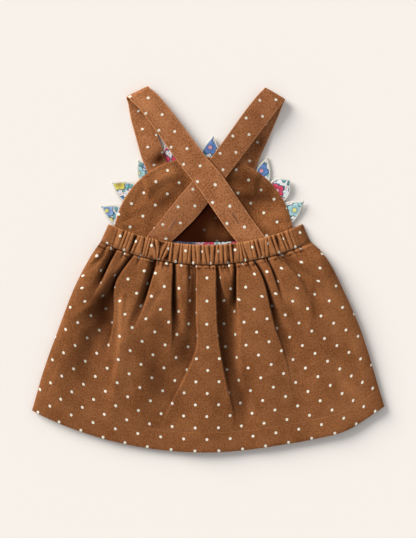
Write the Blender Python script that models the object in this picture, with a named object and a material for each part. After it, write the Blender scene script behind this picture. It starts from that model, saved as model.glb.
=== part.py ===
"""A toddler's pinafore dress in dotted needlecord, lying face down on a surface.

Run with: blender --background --python part.py
Metres, +Z up. +Y points from hem to shoulders and +X to the right of the back.
The origin is on the surface, under the middle of the dress.

The front (bib, waistband and skirt) lies flat on the surface. On it lie the bib's
lining, the petals sewn into the bib's rim, the two straps that fold over at the
shoulders and cross, the elastic back waistband and the gathered back skirt.
Each cloth piece is a wall of its own, and pieces at a seam are a small gap apart.
"""

import math

import bmesh
import bpy
from mathutils import Vector

MM = 0.001

# Cloth, in millimetres like every size below.
CORD = 1.2              # one layer of needlecord, with its lining cotton
COTTON = 1.0            # printed cotton, faced
STRAP = 2.0             # a strap is a folded tube
SEAM_GAP = 0.3          # between pieces that are sewn together
LAY_GAP = 0.3           # between pieces that lie on each other

# Heights of the layers above the surface.
LINING_REST = CORD + LAY_GAP                    # underside of the bib lining, inside its rim
PETAL_REST = CORD + LAY_GAP                     # underside of a petal's root
RIM_REST = PETAL_REST + COTTON + LAY_GAP        # underside of the lining over the petals
STRAP_REST = RIM_REST + STRAP + LAY_GAP         # underside of the lining over a strap's end
FACING_REST = CORD + LAY_GAP                    # underside of the waistband facing

# The back waistband is an arc, lower in the middle than at the sides.
WAIST_CENTRE = Vector((-2.7, 298.0))
BAND_TOP_RADIUS = 271.0         # top edge of the back waistband
SEAM_RADIUS = 293.4             # waist seam of the back
WAIST_HALF_ANGLE = math.radians(24.25)

# The front waistband is flatter and shows a little above the back one.
FRONT_CENTRE = Vector((-2.7, 490.1))
LINING_SEAM_RADIUS = 460.0      # where its facing meets the bib lining
FRONT_TOP_RADIUS = 462.0        # where it meets the bib
FRONT_SEAM_RADIUS = 486.0       # waist seam of the front
FRONT_HALF_WIDTH = (111.0, 121.0)   # at its top and at the waist seam

# The hem is a wider arc, a little higher at the right.
HEM_CENTRE = Vector((-5.4, 218.5))
HEM_RADIUS = 430.0
HEM_HALF_ANGLE = math.radians(28.1)
HEM_TILT = math.radians(0.8)
HEM_WAVES = [                   # across, half width, how far the hem hangs lower
    (0.76, 0.17, 7.3),
    (0.53, 0.12, 1.8),
]
SIDE_CURVE = [                  # down, how far the skirt's sides curve out
    (0.00, 0.0),
    (0.05, 4.6),
    (0.12, 8.0),
    (0.22, 10.0),
    (0.35, 10.6),
    (0.55, 9.4),
    (0.76, 5.9),
    (0.88, 2.9),
    (1.00, 0.0),
]
SKIRT_SHIFT = [                 # down, how far the skirt lies to the right
    (0.00, 0.0),
    (0.05, 1.8),
    (0.30, 2.0),
    (0.52, 2.5),
    (0.66, 1.6),
    (0.80, 0.7),
    (1.00, 0.4),
]
SIDE_ROLL = (8.0, 14.0)         # width of the skirt's rolled side at the waist and below
ROLL_START = math.radians(-35)  # the roll starts under the widest point

# The bib is a superellipse, cut off by the waist.
BIB_CENTRE = Vector((-5.2, 21.3))
BIB_HALF_WIDTH = 104.7
BIB_HEIGHT = 107.0
BIB_POWER = 2.2

# The elastic back waistband.
BAND_INSIDE = 5.4               # height of its plain inner face
BAND_THICKNESS = 3.0            # two layers of cord and the elastic
BAND_ROLL = 8.0                 # width of its rolled ends
BAND_RIDGES = 40
RIDGE_HEIGHT = 2.0
RIDGE_SHIFT = 0.18              # unevenness of the ridges, as a share of their spacing

# The back skirt: height of its cloth from waist (0) to hem (1).
SKIRT_PROFILE = [               # down, height of the ridges
    (0.00, 7.8),
    (0.03, 11.2),
    (0.08, 14.2),
    (0.15, 15.2),
    (0.32, 14.4),
    (0.60, 12.0),
    (0.85, 9.4),
    (1.00, 7.9),
]
SKIRT_ROWS = [0, 0.02, 0.045, 0.07, 0.1, 0.14, 0.19, 0.26, 0.35, 0.46, 0.58, 0.72, 0.86, 1.0]
LOWEST_FOLD = 6.4               # no fold comes nearer to the surface than this
NARROW_RIDGE_SLOPE = 1.1        # a ridge between two close folds rises this steeply

# Folds of the back skirt, across -1 (left side) to 1 (right side):
# where the fold leaves the waist, where it ends, how far down, how deep,
# and how wide its two flanks are at the waist.
SKIRT_FOLDS = [
    # waist,  end,    reach, depth, left, right
    (-0.842, -0.878, 0.36, 7.0, 6.0, 3.0),
    (-0.680, -0.740, 0.58, 8.0, 6.5, 3.0),
    (-0.484, -0.530, 0.42, 8.0, 4.0, 3.5),
    (-0.292, -0.215, 0.54, 8.0, 3.0, 5.5),
    (-0.095, -0.150, 0.86, 7.0, 6.5, 2.8),
    (0.078, 0.122, 0.92, 8.0, 2.8, 7.0),
    (0.258, 0.215, 0.34, 6.5, 3.6, 3.0),
    (0.450, 0.490, 0.74, 8.0, 3.0, 7.0),
    (0.572, 0.555, 0.24, 5.0, 4.0, 4.0),
    (0.724, 0.795, 0.42, 5.5, 6.5, 6.5),
]
# Short gathers between them: after which big fold (0 is the left side), how far
# towards the next one, how far down and how deep.
SMALL_FOLDS = [
    # after, share, reach, depth
    (0, 0.50, 0.14, 3.0),
    (1, 0.52, 0.22, 4.5),
    (2, 0.45, 0.14, 3.5),
    (3, 0.22, 0.16, 4.0),
    (3, 0.58, 0.22, 4.5),
    (3, 0.82, 0.13, 3.5),
    (4, 0.30, 0.15, 4.0),
    (4, 0.64, 0.24, 4.5),
    (5, 0.50, 0.08, 2.0),
    (6, 0.34, 0.20, 4.5),
    (6, 0.66, 0.24, 4.5),
    (7, 0.30, 0.14, 3.5),
    (7, 0.62, 0.24, 4.5),
    (8, 0.50, 0.22, 4.0),
    (9, 0.35, 0.16, 3.5),
    (9, 0.70, 0.22, 4.0),
    (10, 0.40, 0.20, 3.5),
    (10, 0.80, 0.14, 3.0),
]

# Broad soft swells of the lower skirt.
SKIRT_SWELLS = [
    # across, down, half_width, half_length, height
    (-0.62, 0.72, 0.10, 0.30, -1.6),
    (-0.44, 0.78, 0.09, 0.34, 1.5),
    (-0.24, 0.80, 0.09, 0.22, -2.0),
    (0.02, 0.80, 0.12, 0.40, 1.4),
    (0.22, 0.74, 0.08, 0.24, -1.4),
    (0.38, 0.82, 0.09, 0.30, 1.4),
    (0.58, 0.66, 0.08, 0.26, -1.6),
    (0.72, 0.80, 0.09, 0.30, 1.3),
    (-0.82, 0.82, 0.09, 0.30, 1.2),
]

# Petals round the bib's rim: where on the rim (degrees from +X), which way they
# point, how long and wide they are, and how far their tips lift.
PETALS = [
    # name,      rim,   points, length, width, lift, bluntness
    ("petal_1", 158.3, 150.0, 23.0, 23.0, 1.0, 1.5),
    ("petal_2", 142.4, 150.0, 23.6, 25.0, 0.6, 1.6),
    ("petal_3", 126.3, 125.0, 19.5, 24.0, 0.0, 1.6),
    ("petal_4", 110.7, 106.0, 20.7, 23.0, 0.0, 1.6),
    ("petal_5", 86.0, 82.0, 25.3, 24.0, 1.6, 1.7),
    ("petal_6", 68.5, 75.0, 23.0, 23.0, 0.0, 1.6),
    ("petal_7", 51.3, 76.0, 22.5, 19.5, 0.3, 1.7),
    ("petal_8", 38.2, 44.0, 19.5, 27.0, 3.0, 2.8),
    ("petal_9", 23.4, 38.0, 22.4, 24.0, 2.4, 1.6),
]
PETAL_ROOT = 4.0                # the petal's root under the lining

# Strap sections, each a point on the arm-side edge and one on the neck-side edge, in
# the middle of the strap's wall: the front stretch up from the bib, then the back one
# down to the tail behind the waistband. Between them the strap folds over.
LEFT_FRONT = [
    # arm x, y, z,          neck x, y, z
    (-66.5, 104.0, 3.8, -44.0, 113.5, 3.8),
    (-70.2, 112.2, 3.8, -47.0, 121.0, 3.8),
    (-76.5, 127.5, 3.8, -51.5, 135.0, 4.4),
    (-83.0, 150.6, 3.0, -59.4, 156.8, 4.4),
    (-88.9, 172.5, 1.8, -65.0, 180.5, 2.6),
    (-92.4, 191.9, 1.4, -67.9, 207.3, 1.4),
]
LEFT_BACK = [
    (-88.6, 192.6, 11.8, -66.9, 207.3, 6.6),
    (-79.5, 184.2, 12.4, -58.4, 200.4, 7.8),
    (-72.1, 174.9, 12.4, -50.5, 191.4, 8.2),
    (-60.9, 159.6, 11.8, -38.6, 176.9, 8.6),
    (-44.9, 137.0, 10.6, -21.6, 154.3, 8.8),
    (-27.6, 113.3, 9.4, -3.7, 130.2, 9.2),
    (-9.2, 89.7, 8.4, 16.1, 107.1, 10.4),
    (6.9, 66.1, 7.2, 32.4, 83.4, 7.8),
    (23.0, 43.1, 4.8, 48.3, 60.3, 5.0),
    (34.5, 28.8, 4.1, 59.2, 45.4, 4.1),
    (43.7, 15.5, 4.0, 69.0, 32.2, 4.0),
]
LEFT_SHOULDER = (-0.492, 0.871)     # the way the fold faces

RIGHT_FRONT = [
    (51.0, 106.8, 3.8, 28.5, 117.5, 3.8),
    (54.9, 115.6, 3.8, 31.5, 126.0, 3.8),
    (62.5, 134.0, 3.8, 38.5, 144.0, 4.0),
    (71.6, 154.0, 2.6, 47.5, 164.0, 3.4),
    (80.3, 174.2, 1.6, 56.0, 184.5, 2.0),
    (86.8, 190.6, 1.4, 64.6, 206.1, 1.4),
]
RIGHT_BACK = [
    (85.6, 190.4, 10.2, 63.8, 206.1, 6.0),
    (77.6, 179.3, 10.8, 55.8, 197.8, 6.8),
    (64.2, 161.9, 10.8, 41.2, 179.4, 7.0),
    (46.9, 138.8, 9.8, 24.7, 156.4, 7.0),
    (29.3, 115.8, 8.4, 8.1, 133.4, 6.8),
    (15.9, 98.0, 7.0, -5.2, 115.6, 6.0),
    (4.4, 81.4, 5.6, -18.4, 100.1, 5.2),
    (-12.7, 59.5, 4.4, -36.2, 79.4, 4.4),
    (-30.5, 41.5, 4.1, -54.1, 56.4, 4.1),
    (-46.6, 26.2, 4.1, -69.0, 38.5, 4.1),
    (-57.5, 15.5, 4.0, -79.4, 25.9, 4.0),
]
RIGHT_SHOULDER = (0.553, 0.832)

STRAP_STEPS = 3                 # rings between two sections
STRAP_COLUMNS = 3
SHOULDER_TURNS = (30, 60, 90, 120, 150)     # rings of the fold over the shoulder, in degrees

# Colour, roughness
CLOTHS = {
    "needlecord": ((0.262, 0.103, 0.036), 0.85),
    "needlecord_lining": ((0.215, 0.082, 0.028), 0.85),
    "floral_cotton": ((0.62, 0.62, 0.66), 0.80),
}


# ---------------------------------------------------------------- small helpers


def smooth(x):
    """0 to 1, eased at both ends."""
    x = min(max(x, 0.0), 1.0)
    return x * x * (3 - 2 * x)


def on_table(table, x):
    """The value of a two-column table at x, on a smooth curve through its rows."""
    slopes = [(b[1] - a[1]) / (b[0] - a[0]) for a, b in zip(table, table[1:])]
    slopes = [slopes[0], *((a + b) / 2 for a, b in zip(slopes, slopes[1:])), slopes[-1]]
    for k, ((low, a), (high, b)) in enumerate(zip(table, table[1:])):
        if x <= high:
            break
    span = high - low
    t = (x - low) / span
    ease = smooth(t)
    bend = span * t * (1 - t) * (slopes[k] * (1 - t) - slopes[k + 1] * t)
    return a + (b - a) * ease + bend


def on_arc(centre, radius, angle):
    """A point in plan on an arc, with angle 0 straight down."""
    return centre + radius * Vector((math.sin(angle), -math.cos(angle)))


def spline(points, steps):
    """Points of a Catmull-Rom curve through the given ones."""
    first = points[0] * 2 - points[1]
    last = points[-1] * 2 - points[-2]
    line = [first, *points, last]
    out = []
    for a, b, c, d in zip(line, line[1:], line[2:], line[3:]):
        for k in range(steps):
            t = k / steps
            out.append(
                0.5 * (b * 2 + (c - a) * t + (a * 2 - b * 5 + c * 4 - d) * t**2
                       + (b * 3 - a - c * 3 + d) * t**3)
            )
    out.append(points[-1])
    return out


def cloth(name):
    """The Principled material of one cloth."""
    found = bpy.data.materials.get(name)
    if found:
        return found
    colour, roughness = CLOTHS[name]
    made = bpy.data.materials.new(name)
    made.use_nodes = True
    shader = made.node_tree.nodes["Principled BSDF"]
    shader.inputs["Base Color"].default_value = (*colour, 1.0)
    shader.inputs["Roughness"].default_value = roughness
    shader.inputs["Metallic"].default_value = 0.0
    return made


def add_object(name, bm, material):
    """Turns a bmesh in millimetres into a named object in metres."""
    bmesh.ops.remove_doubles(bm, verts=bm.verts, dist=1e-4)
    bmesh.ops.recalc_face_normals(bm, faces=bm.faces)
    bmesh.ops.scale(bm, vec=Vector((MM, MM, MM)), verts=bm.verts)
    mesh = bpy.data.meshes.new(name)
    bm.to_mesh(mesh)
    bm.free()
    mesh.shade_smooth()
    mesh.set_sharp_from_angle(angle=math.radians(50))
    mesh.materials.append(cloth(material))
    obj = bpy.data.objects.new(name, mesh)
    bpy.context.scene.collection.objects.link(obj)
    return obj


# ------------------------------------------------------------------ wall makers


def slab(name, outline, low, high, material):
    """A flat piece: its outline in plan, extruded from low to high."""
    bm = bmesh.new()
    face = bm.faces.new([bm.verts.new((p.x, p.y, low)) for p in outline])
    lifted = bmesh.ops.extrude_face_region(bm, geom=[face])["geom"]
    top = [v for v in lifted if isinstance(v, bmesh.types.BMVert)]
    bmesh.ops.translate(bm, vec=(0, 0, high - low), verts=top)
    return add_object(name, bm, material)


def moved_out(rows, distance):
    """The grid of points moved along its own normals; a positive distance is upwards on a flat grid."""
    count, width = len(rows), len(rows[0])
    out = []
    for i in range(count):
        line = []
        for j in range(width):
            along = rows[min(i + 1, count - 1)][j] - rows[max(i - 1, 0)][j]
            across = rows[i][min(j + 1, width - 1)] - rows[i][max(j - 1, 0)]
            normal = along.cross(across)
            line.append(rows[i][j] + normal.normalized() * distance)
        out.append(line)
    return out


def wall(name, outer, inner, material):
    """A closed wall between two grids of points of the same size."""
    bm = bmesh.new()
    faces = [[[bm.verts.new(p) for p in row] for row in grid] for grid in (outer, inner)]
    last_row, last_column = len(outer) - 1, len(outer[0]) - 1
    for grid in faces:
        for upper, lower in zip(grid, grid[1:]):
            for j in range(last_column):
                bm.faces.new((upper[j], upper[j + 1], lower[j + 1], lower[j]))
    front, back = faces
    for i in (0, last_row):
        for j in range(last_column):
            bm.faces.new((front[i][j], front[i][j + 1], back[i][j + 1], back[i][j]))
    for j in (0, last_column):
        for i in range(last_row):
            bm.faces.new((front[i][j], front[i + 1][j], back[i + 1][j], back[i][j]))
    return add_object(name, bm, material)


# ---------------------------------------------------------------------- the bib


def rim_point(angle):
    """A point of the bib's rim, at an angle in radians from +X."""
    c, s = abs(math.cos(angle)), abs(math.sin(angle))
    reach = ((c / BIB_HALF_WIDTH) ** BIB_POWER + (s / BIB_HEIGHT) ** BIB_POWER) ** (-1 / BIB_POWER)
    return BIB_CENTRE + reach * Vector((math.cos(angle), math.sin(angle)))


def rim_meets_waist(side, radius):
    """The angle at which the rim meets an arc of the front waist, on one side."""
    low, high = 0.0, math.radians(60)
    for _ in range(40):
        middle = (low + high) / 2
        point = rim_point(middle if side > 0 else math.pi - middle)
        if (point - FRONT_CENTRE).length > radius:
            low = middle
        else:
            high = middle
    return high if side > 0 else math.pi - high


def angle_at(centre, point):
    """The angle of a point on an arc, with 0 straight down."""
    away = point - centre
    return math.atan2(away.x, -away.y)


def strap_end_frame(front):
    """Middle, along-the-rim direction and half width of a strap where it enters the bib."""
    arm, neck = Vector(front[1][0:2]), Vector(front[1][3:5])
    return (arm + neck) / 2, (neck - arm).normalized(), (neck - arm).length / 2


def lining_height(point, inward):
    """Underside of the lining: low inside, raised over the petals' roots and the strap ends."""
    height = LINING_REST + (RIM_REST - LINING_REST) * smooth((15 - inward) / 9)
    for front in (LEFT_FRONT, RIGHT_FRONT):
        middle, along, half = strap_end_frame(front)
        beside = abs((point - middle).dot(along)) - half - 3.0
        behind = inward - 13
        away = max(beside, behind, 0.0)
        height = max(height, LINING_REST + (STRAP_REST - LINING_REST) * smooth(1 - away / 12))
    return height


def lining_rows(steps, rings):
    """Rings of the lining from the middle of the waist to the rim, as rows of underside points."""
    radius = LINING_SEAM_RADIUS - SEAM_GAP
    start, stop = rim_meets_waist(1, radius), rim_meets_waist(-1, radius)
    foot = on_arc(FRONT_CENTRE, radius, 0)
    rows = []
    for ring in rings:
        sag = {}
        for end in (start, stop):
            corner = rim_point(end)
            waist = on_arc(FRONT_CENTRE, radius, ring * angle_at(FRONT_CENTRE, corner))
            sag[end] = waist - foot.lerp(corner, ring)
        row = []
        for k in range(steps + 1):
            angle = start + (stop - start) * k / steps
            spoke = rim_point(angle) - foot
            end = start if k < steps / 2 else stop
            near_waist = (1 - smooth(3 * abs(angle - end)))
            point = foot + spoke * ring + sag[end] * near_waist
            inward = spoke.length * (1 - ring)
            row.append(Vector((point.x, point.y, lining_height(point, inward))))
        rows.append(row)
    return rows


def bib():
    """The flat front of the bib and its lining."""
    radius = FRONT_TOP_RADIUS - SEAM_GAP
    start, stop = rim_meets_waist(1, radius), rim_meets_waist(-1, radius)
    outline = [rim_point(start + (stop - start) * k / 48) for k in range(49)]
    first, last = (angle_at(FRONT_CENTRE, p) for p in (outline[-1], outline[0]))
    outline += [on_arc(FRONT_CENTRE, radius, first + (last - first) * k / 16) for k in range(1, 16)]
    slab("bib_front", outline, 0, CORD, "needlecord")
    rows = lining_rows(48, (0, 0.3, 0.55, 0.7, 0.79, 0.86, 0.92, 0.96, 1.0))
    upper = [[p + Vector((0, 0, CORD)) for p in row] for row in rows]
    wall("bib_lining", upper, rows, "needlecord_lining")


def petal_rows(rim, points, length, width, lift, bluntness):
    """A petal's underside, from its root under the lining to its tip."""
    base = rim_point(math.radians(rim))
    step = math.radians(0.5)
    along = (rim_point(math.radians(rim) - step) - rim_point(math.radians(rim) + step)).normalized()
    out = Vector((-along.y, along.x))
    axis = Vector((math.cos(math.radians(points)), math.sin(math.radians(points))))
    rows = []
    for t in (-1.0, 0.0, 0.14, 0.3, 0.46, 0.62, 0.76, 0.88, 0.97):
        if t < 0:
            middle = base - out * PETAL_ROOT
            half = 0.47 * width
        else:
            middle = base + axis * length * t
            half = 0.5 * width * (1 - t**bluntness) + 0.25
        height = PETAL_REST + lift * smooth(max(t, 0.0))
        side = along if t < 0.2 else (along * (1 - t) + Vector((axis.y, -axis.x)) * t).normalized()
        row = []
        for s in (-1.0, -0.4, 0.4, 1.0):
            p = middle + side * half * s
            row.append(Vector((p.x, p.y, height + 0.25 * lift * (1 - s * s) * max(t, 0.0))))
        rows.append(row)
    return rows


def petals():
    for name, *shape in PETALS:
        rows = petal_rows(*shape)
        upper = [[p + Vector((0, 0, COTTON)) for p in row] for row in rows]
        wall(name, upper, rows, "floral_cotton")


# ------------------------------------------------------------------- the straps


def shoulder_fold(low, high, facing):
    """One edge of the strap's fold over the shoulder, round from its lower to its upper end."""
    centre, arm = (low + high) / 2, (low - high) / 2
    out = Vector((*facing, 0)) * arm.length
    turns = [math.radians(turn) for turn in SHOULDER_TURNS]
    return [centre + arm * math.cos(turn) + out * math.sin(turn) for turn in turns]


def strap_edge(front, back, facing):
    """One edge of a strap, from the bib over the shoulder to the tail."""
    fold = shoulder_fold(front[-1], back[0], facing)
    return spline(front, STRAP_STEPS) + fold + spline(back, STRAP_STEPS)


def strap(name, front, back, facing):
    """A strap: ruled between its two edges, with a wall of its own thickness."""
    arm, neck = (
        strap_edge([Vector(row[k:k + 3]) for row in front], [Vector(row[k:k + 3]) for row in back], facing)
        for k in (0, 3)
    )
    middle = [
        [a.lerp(n, j / STRAP_COLUMNS) for j in range(STRAP_COLUMNS + 1)]
        for a, n in zip(arm, neck)
    ]
    wall(name, moved_out(middle, STRAP / 2), moved_out(middle, -STRAP / 2), "needlecord")


# ---------------------------------------------------------------- the waistband


def front_strip(upper_radius, lower_radius, inset, steps=32):
    """Outline in plan of a strip of the front waistband."""
    edges = []
    for radius, half_width in zip((upper_radius, lower_radius), FRONT_HALF_WIDTH):
        half_angle = math.asin((half_width - inset) / radius)
        angles = [half_angle * (2 * k / steps - 1) for k in range(steps + 1)]
        edges.append([on_arc(FRONT_CENTRE, radius, a) for a in angles])
    return edges[0] + edges[1][::-1]


def waist_front():
    """The front waistband, and its printed facing that shows over the back waistband."""
    outer = front_strip(FRONT_TOP_RADIUS, FRONT_SEAM_RADIUS - SEAM_GAP, 0)
    slab("waistband_front", outer, 0, CORD, "needlecord")
    facing = front_strip(LINING_SEAM_RADIUS, FRONT_SEAM_RADIUS - 2, BAND_THICKNESS + 3)
    slab("waistband_facing", facing, FACING_REST, FACING_REST + COTTON, "floral_cotton")


def end_roll(turn, width, low, high):
    """(distance in from the end, height) on a quarter ellipse, turn 0 at the end."""
    return width * (1 - math.cos(turn)), low + (high - low) * math.sin(turn)


def band_columns():
    """For each column: a place along the band, from its two ends or as an angle, and its ridge height."""
    roll = [math.radians(a) for a in (0, 18, 36, 54, 72)]
    flat = WAIST_HALF_ANGLE - BAND_ROLL / BAND_TOP_RADIUS
    columns = [("left", turn, 0.0) for turn in roll]
    for ridge in range(BAND_RIDGES):
        for phase in (0.0, 0.25, 0.5, 0.75):
            uneven = RIDGE_SHIFT * math.sin(2.4 * ridge) * (phase > 0)
            across = (ridge + phase + uneven * 0.5) / BAND_RIDGES
            tall = RIDGE_HEIGHT * (0.75 + 0.25 * math.sin(1.7 * ridge + 1))
            height = tall * (1 - math.cos(2 * math.pi * phase)) / 2
            columns.append(("flat", flat * (2 * across - 1), height))
    columns.append(("flat", flat, 0.0))
    columns += [("right", turn, 0.0) for turn in reversed(roll)]
    return columns


def band_point(column, radius, face):
    """A point of the band's inner (0) or outer (1) face."""
    kind, place, ridge = column
    start = PETAL_REST
    if kind == "flat":
        angle = place
        height = BAND_INSIDE + face * (BAND_THICKNESS + ridge)
    else:
        if face:
            inset, height = end_roll(place, BAND_ROLL, start, BAND_INSIDE + BAND_THICKNESS)
        else:
            inset, height = end_roll(place, BAND_ROLL - BAND_THICKNESS, start, BAND_INSIDE)
            inset += BAND_THICKNESS
        angle = WAIST_HALF_ANGLE - inset / radius
        angle = -angle if kind == "left" else angle
    p = on_arc(WAIST_CENTRE, radius, angle)
    return Vector((p.x, p.y, height))


def waistband_back():
    """The elastic casing: gathered ridges outside, plain inside."""
    columns = band_columns()
    depth = SEAM_RADIUS - BAND_TOP_RADIUS - SEAM_GAP
    grids = []
    for face in (1, 0):
        rows = []
        for down, pinch in ((0.0, 0.35), (0.16, 1.0), (0.84, 1.0), (1.0, 0.35)):
            radius = BAND_TOP_RADIUS + depth * down
            rows.append([band_point((k, p, ridge * pinch), radius, face) for k, p, ridge in columns])
        grids.append(rows)
    wall("waistband_back", *grids, "needlecord")


# -------------------------------------------------------------------- the skirt


def skirt_plan(across, down):
    """A point of the skirt in plan: across -1 to 1, down 0 at the waist to 1 at the hem."""
    waist = on_arc(WAIST_CENTRE, SEAM_RADIUS + SEAM_GAP, WAIST_HALF_ANGLE * across)
    hem = on_arc(HEM_CENTRE, HEM_RADIUS, HEM_TILT + HEM_HALF_ANGLE * across)
    wave = sum(drop * math.exp(-(((across - at) / half) ** 2)) for at, half, drop in HEM_WAVES)
    sideways = on_table(SIDE_CURVE, down) * across + on_table(SKIRT_SHIFT, down)
    return waist.lerp(hem, down) + Vector((sideways, -wave * smooth((down - 0.55) / 0.45)))


def skirt_width(down):
    """Half width of the skirt in plan."""
    return (skirt_plan(1, down) - skirt_plan(-1, down)).length / 2


def swell(across, down):
    """Height that the broad soft swells add."""
    total = 0.0
    for centre, level, half_width, half_length, height in SKIRT_SWELLS:
        a, b = (across - centre) / half_width, (down - level) / half_length
        total += height * math.exp(-(a * a + b * b))
    return total * smooth(down / 0.3)


def fold_depth(depth, reach, down):
    """Depth of a fold at this distance down: it opens below the seam and fades out."""
    return depth * (0.2 + 0.8 * smooth(down / 0.07)) * smooth(1 - down / reach)


def roll_width(down):
    return SIDE_ROLL[0] + (SIDE_ROLL[1] - SIDE_ROLL[0]) * smooth(down / 0.25)


def skirt_valleys(down):
    """(across, height, left flank, right flank) of each fold, from left to right. A short gather
    keeps its place between two big folds and has no flanks of its own."""
    plateau = on_table(SKIRT_PROFILE, down)
    edge = 1 - roll_width(down) / skirt_width(down)
    places = [a + (b - a) * smooth(down / reach) for a, b, reach, *_ in SKIRT_FOLDS]
    valleys = [
        (place, plateau - fold_depth(depth, reach, down), left, right)
        for place, (_, _, reach, depth, left, right) in zip(places, SKIRT_FOLDS)
    ]
    places = [-edge, *places, edge]
    for after, share, reach, depth in SMALL_FOLDS:
        across = places[after] + (places[after + 1] - places[after]) * share
        valleys.append((across, plateau - fold_depth(depth, reach, down), 0, 0))
    return sorted(valleys), edge, plateau


def skirt_columns(down):
    """(across, height) of the back skirt's folds and ridges, from left to right."""
    half = skirt_width(down)
    valleys, edge, plateau = skirt_valleys(down)
    stops = [(-edge, plateau), *valleys, (edge, plateau)]
    ridges = []
    for (a, low, *_), (b, high, *_) in zip(stops, stops[1:]):
        rise = NARROW_RIDGE_SLOPE * (b - a) / 2 * half
        ridges.append(((a + b) / 2, min(plateau, max(low, high) + rise)))
    columns = [ridges[0]]
    for (across, bottom, left, right), before, after in zip(valleys, ridges, ridges[1:]):
        opened = (1 + 1.5 * down) / half
        flank_left = min(left * opened, 0.8 * (across - before[0]))
        flank_right = min(right * opened, 0.8 * (after[0] - across))
        if left:
            rise = before[1] - bottom
            columns.append((across - flank_left, bottom + 0.9 * rise))
            columns.append((across - flank_left / 2, bottom + 0.42 * rise))
        columns.append((across, bottom))
        if right:
            rise = after[1] - bottom
            columns.append((across + flank_right / 2, bottom + 0.42 * rise))
            columns.append((across + flank_right, bottom + 0.9 * rise))
        columns.append(after)
    return columns


def skirt_side(side, down):
    """The rolled side of the back skirt, from the side seam up."""
    half = skirt_width(down)
    crest = on_table(SKIRT_PROFILE, down)
    seam = CORD + LAY_GAP + CORD / 2 + 0.2
    centre = (seam - crest * math.sin(ROLL_START)) / (1 - math.sin(ROLL_START))
    points = []
    for k in range(6):
        turn = ROLL_START + (math.pi / 2 - ROLL_START) * k / 6
        inset = roll_width(down) * (1 - math.cos(turn)) / half
        p = skirt_plan(side * (1 - inset), down)
        points.append(Vector((p.x, p.y, centre + (crest - centre) * math.sin(turn))))
    return points


def skirt_back_rows():
    """Middle of the back skirt's wall, from waist to hem, each row from the left side seam to the right."""
    rows = []
    for down in SKIRT_ROWS:
        row = skirt_side(-1, down)
        for across, height in skirt_columns(down):
            p = skirt_plan(across, down)
            row.append(Vector((p.x, p.y, max(height + swell(across, down), LOWEST_FOLD))))
        row += reversed(skirt_side(1, down))
        rows.append(row)
    return rows


def skirt_back():
    """The gathered back skirt, a wall offset inwards from its outer face."""
    rows = skirt_back_rows()
    wall("skirt_back", moved_out(rows, CORD / 2), moved_out(rows, -CORD / 2), "needlecord")


def skirt_front():
    """The front skirt, flat under the back one, up to the side seams."""
    radius = FRONT_SEAM_RADIUS
    half_angle = math.asin((FRONT_HALF_WIDTH[1] + 2) / radius)
    outline = [on_arc(FRONT_CENTRE, radius, half_angle * (k / 16 - 1)) for k in range(33)]
    levels = [0.08, 0.14, 0.22, 0.3, 0.4, 0.5, 0.6, 0.7, 0.8, 0.9]
    inset = SIDE_ROLL[1] * (1 - math.cos(ROLL_START))
    outline += [skirt_plan(1 - inset / skirt_width(d), d) for d in levels]
    edge = 1 - inset / skirt_width(1)
    outline += [skirt_plan(edge * (1 - k / 20), 1) for k in range(41)]
    outline += [skirt_plan(-1 + inset / skirt_width(d), d) for d in reversed(levels)]
    slab("skirt_front", outline, 0, CORD, "needlecord")


def main():
    for obj in list(bpy.data.objects):
        bpy.data.objects.remove(obj, do_unlink=True)
    bib()
    petals()
    strap("strap_left", LEFT_FRONT, LEFT_BACK, LEFT_SHOULDER)
    strap("strap_right", RIGHT_FRONT, RIGHT_BACK, RIGHT_SHOULDER)
    waist_front()
    waistband_back()
    skirt_front()
    skirt_back()


main()
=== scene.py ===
"""Dresses a toddler's pinafore in its cloth: dotted needlecord, printed petals and stitching.

The dress lies face down. Sizes in the tables are millimetres, +Y points from hem to shoulders
and the origin is on the surface under the middle of the dress. Each piece is a sheet of cloth
that starts as a flat grid, is laid in place by its own rule and keeps its cut as a UV map.
"""

import math
from collections import namedtuple

import bmesh
import bpy
from mathutils import Matrix, Vector, noise


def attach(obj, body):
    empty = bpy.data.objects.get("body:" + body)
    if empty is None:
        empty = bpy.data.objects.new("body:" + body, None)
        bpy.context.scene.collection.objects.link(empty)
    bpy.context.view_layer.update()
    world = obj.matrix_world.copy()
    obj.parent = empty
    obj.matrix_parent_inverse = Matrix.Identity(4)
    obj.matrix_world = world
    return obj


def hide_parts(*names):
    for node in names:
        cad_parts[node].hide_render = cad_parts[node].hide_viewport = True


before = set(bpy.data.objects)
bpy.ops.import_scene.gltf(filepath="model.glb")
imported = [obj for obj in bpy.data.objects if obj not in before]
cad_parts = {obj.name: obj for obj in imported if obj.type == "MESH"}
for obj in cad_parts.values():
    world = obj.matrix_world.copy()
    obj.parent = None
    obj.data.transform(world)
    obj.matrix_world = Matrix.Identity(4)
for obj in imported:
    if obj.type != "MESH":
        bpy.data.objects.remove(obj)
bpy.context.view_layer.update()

bl_info = {
    "name": "Pinafore Dress",
    "version": (1, 0, 0),
    "blender": (4, 5, 0),
    "location": "3D View > Sidebar > Pinafore",
    "description": "Sews the cloth pieces of a dotted needlecord pinafore and lights them",
    "category": "Object",
}

MM = 0.001
UP = Vector((0, 0, 1))
MERGE = 1e-4            # points closer than this are one point

# ------------------------------------------------------------------ the pattern

CORD = 1.2              # one layer of needlecord, with its lining cotton
COTTON = 1.0            # printed cotton, faced
STRAP = 2.0             # a strap is a folded tube
SEAM_GAP = 0.3
LAY_GAP = 0.3
DOT_SPACING = 26.6      # of the dots in a row of the print
# Undersides of the layers that lie over the dress's front.
LINING_REST = CORD + LAY_GAP
PETAL_REST = CORD + LAY_GAP
RIM_REST = PETAL_REST + COTTON + LAY_GAP
STRAP_REST = RIM_REST + STRAP + LAY_GAP
FACING_REST = CORD + LAY_GAP

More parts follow.
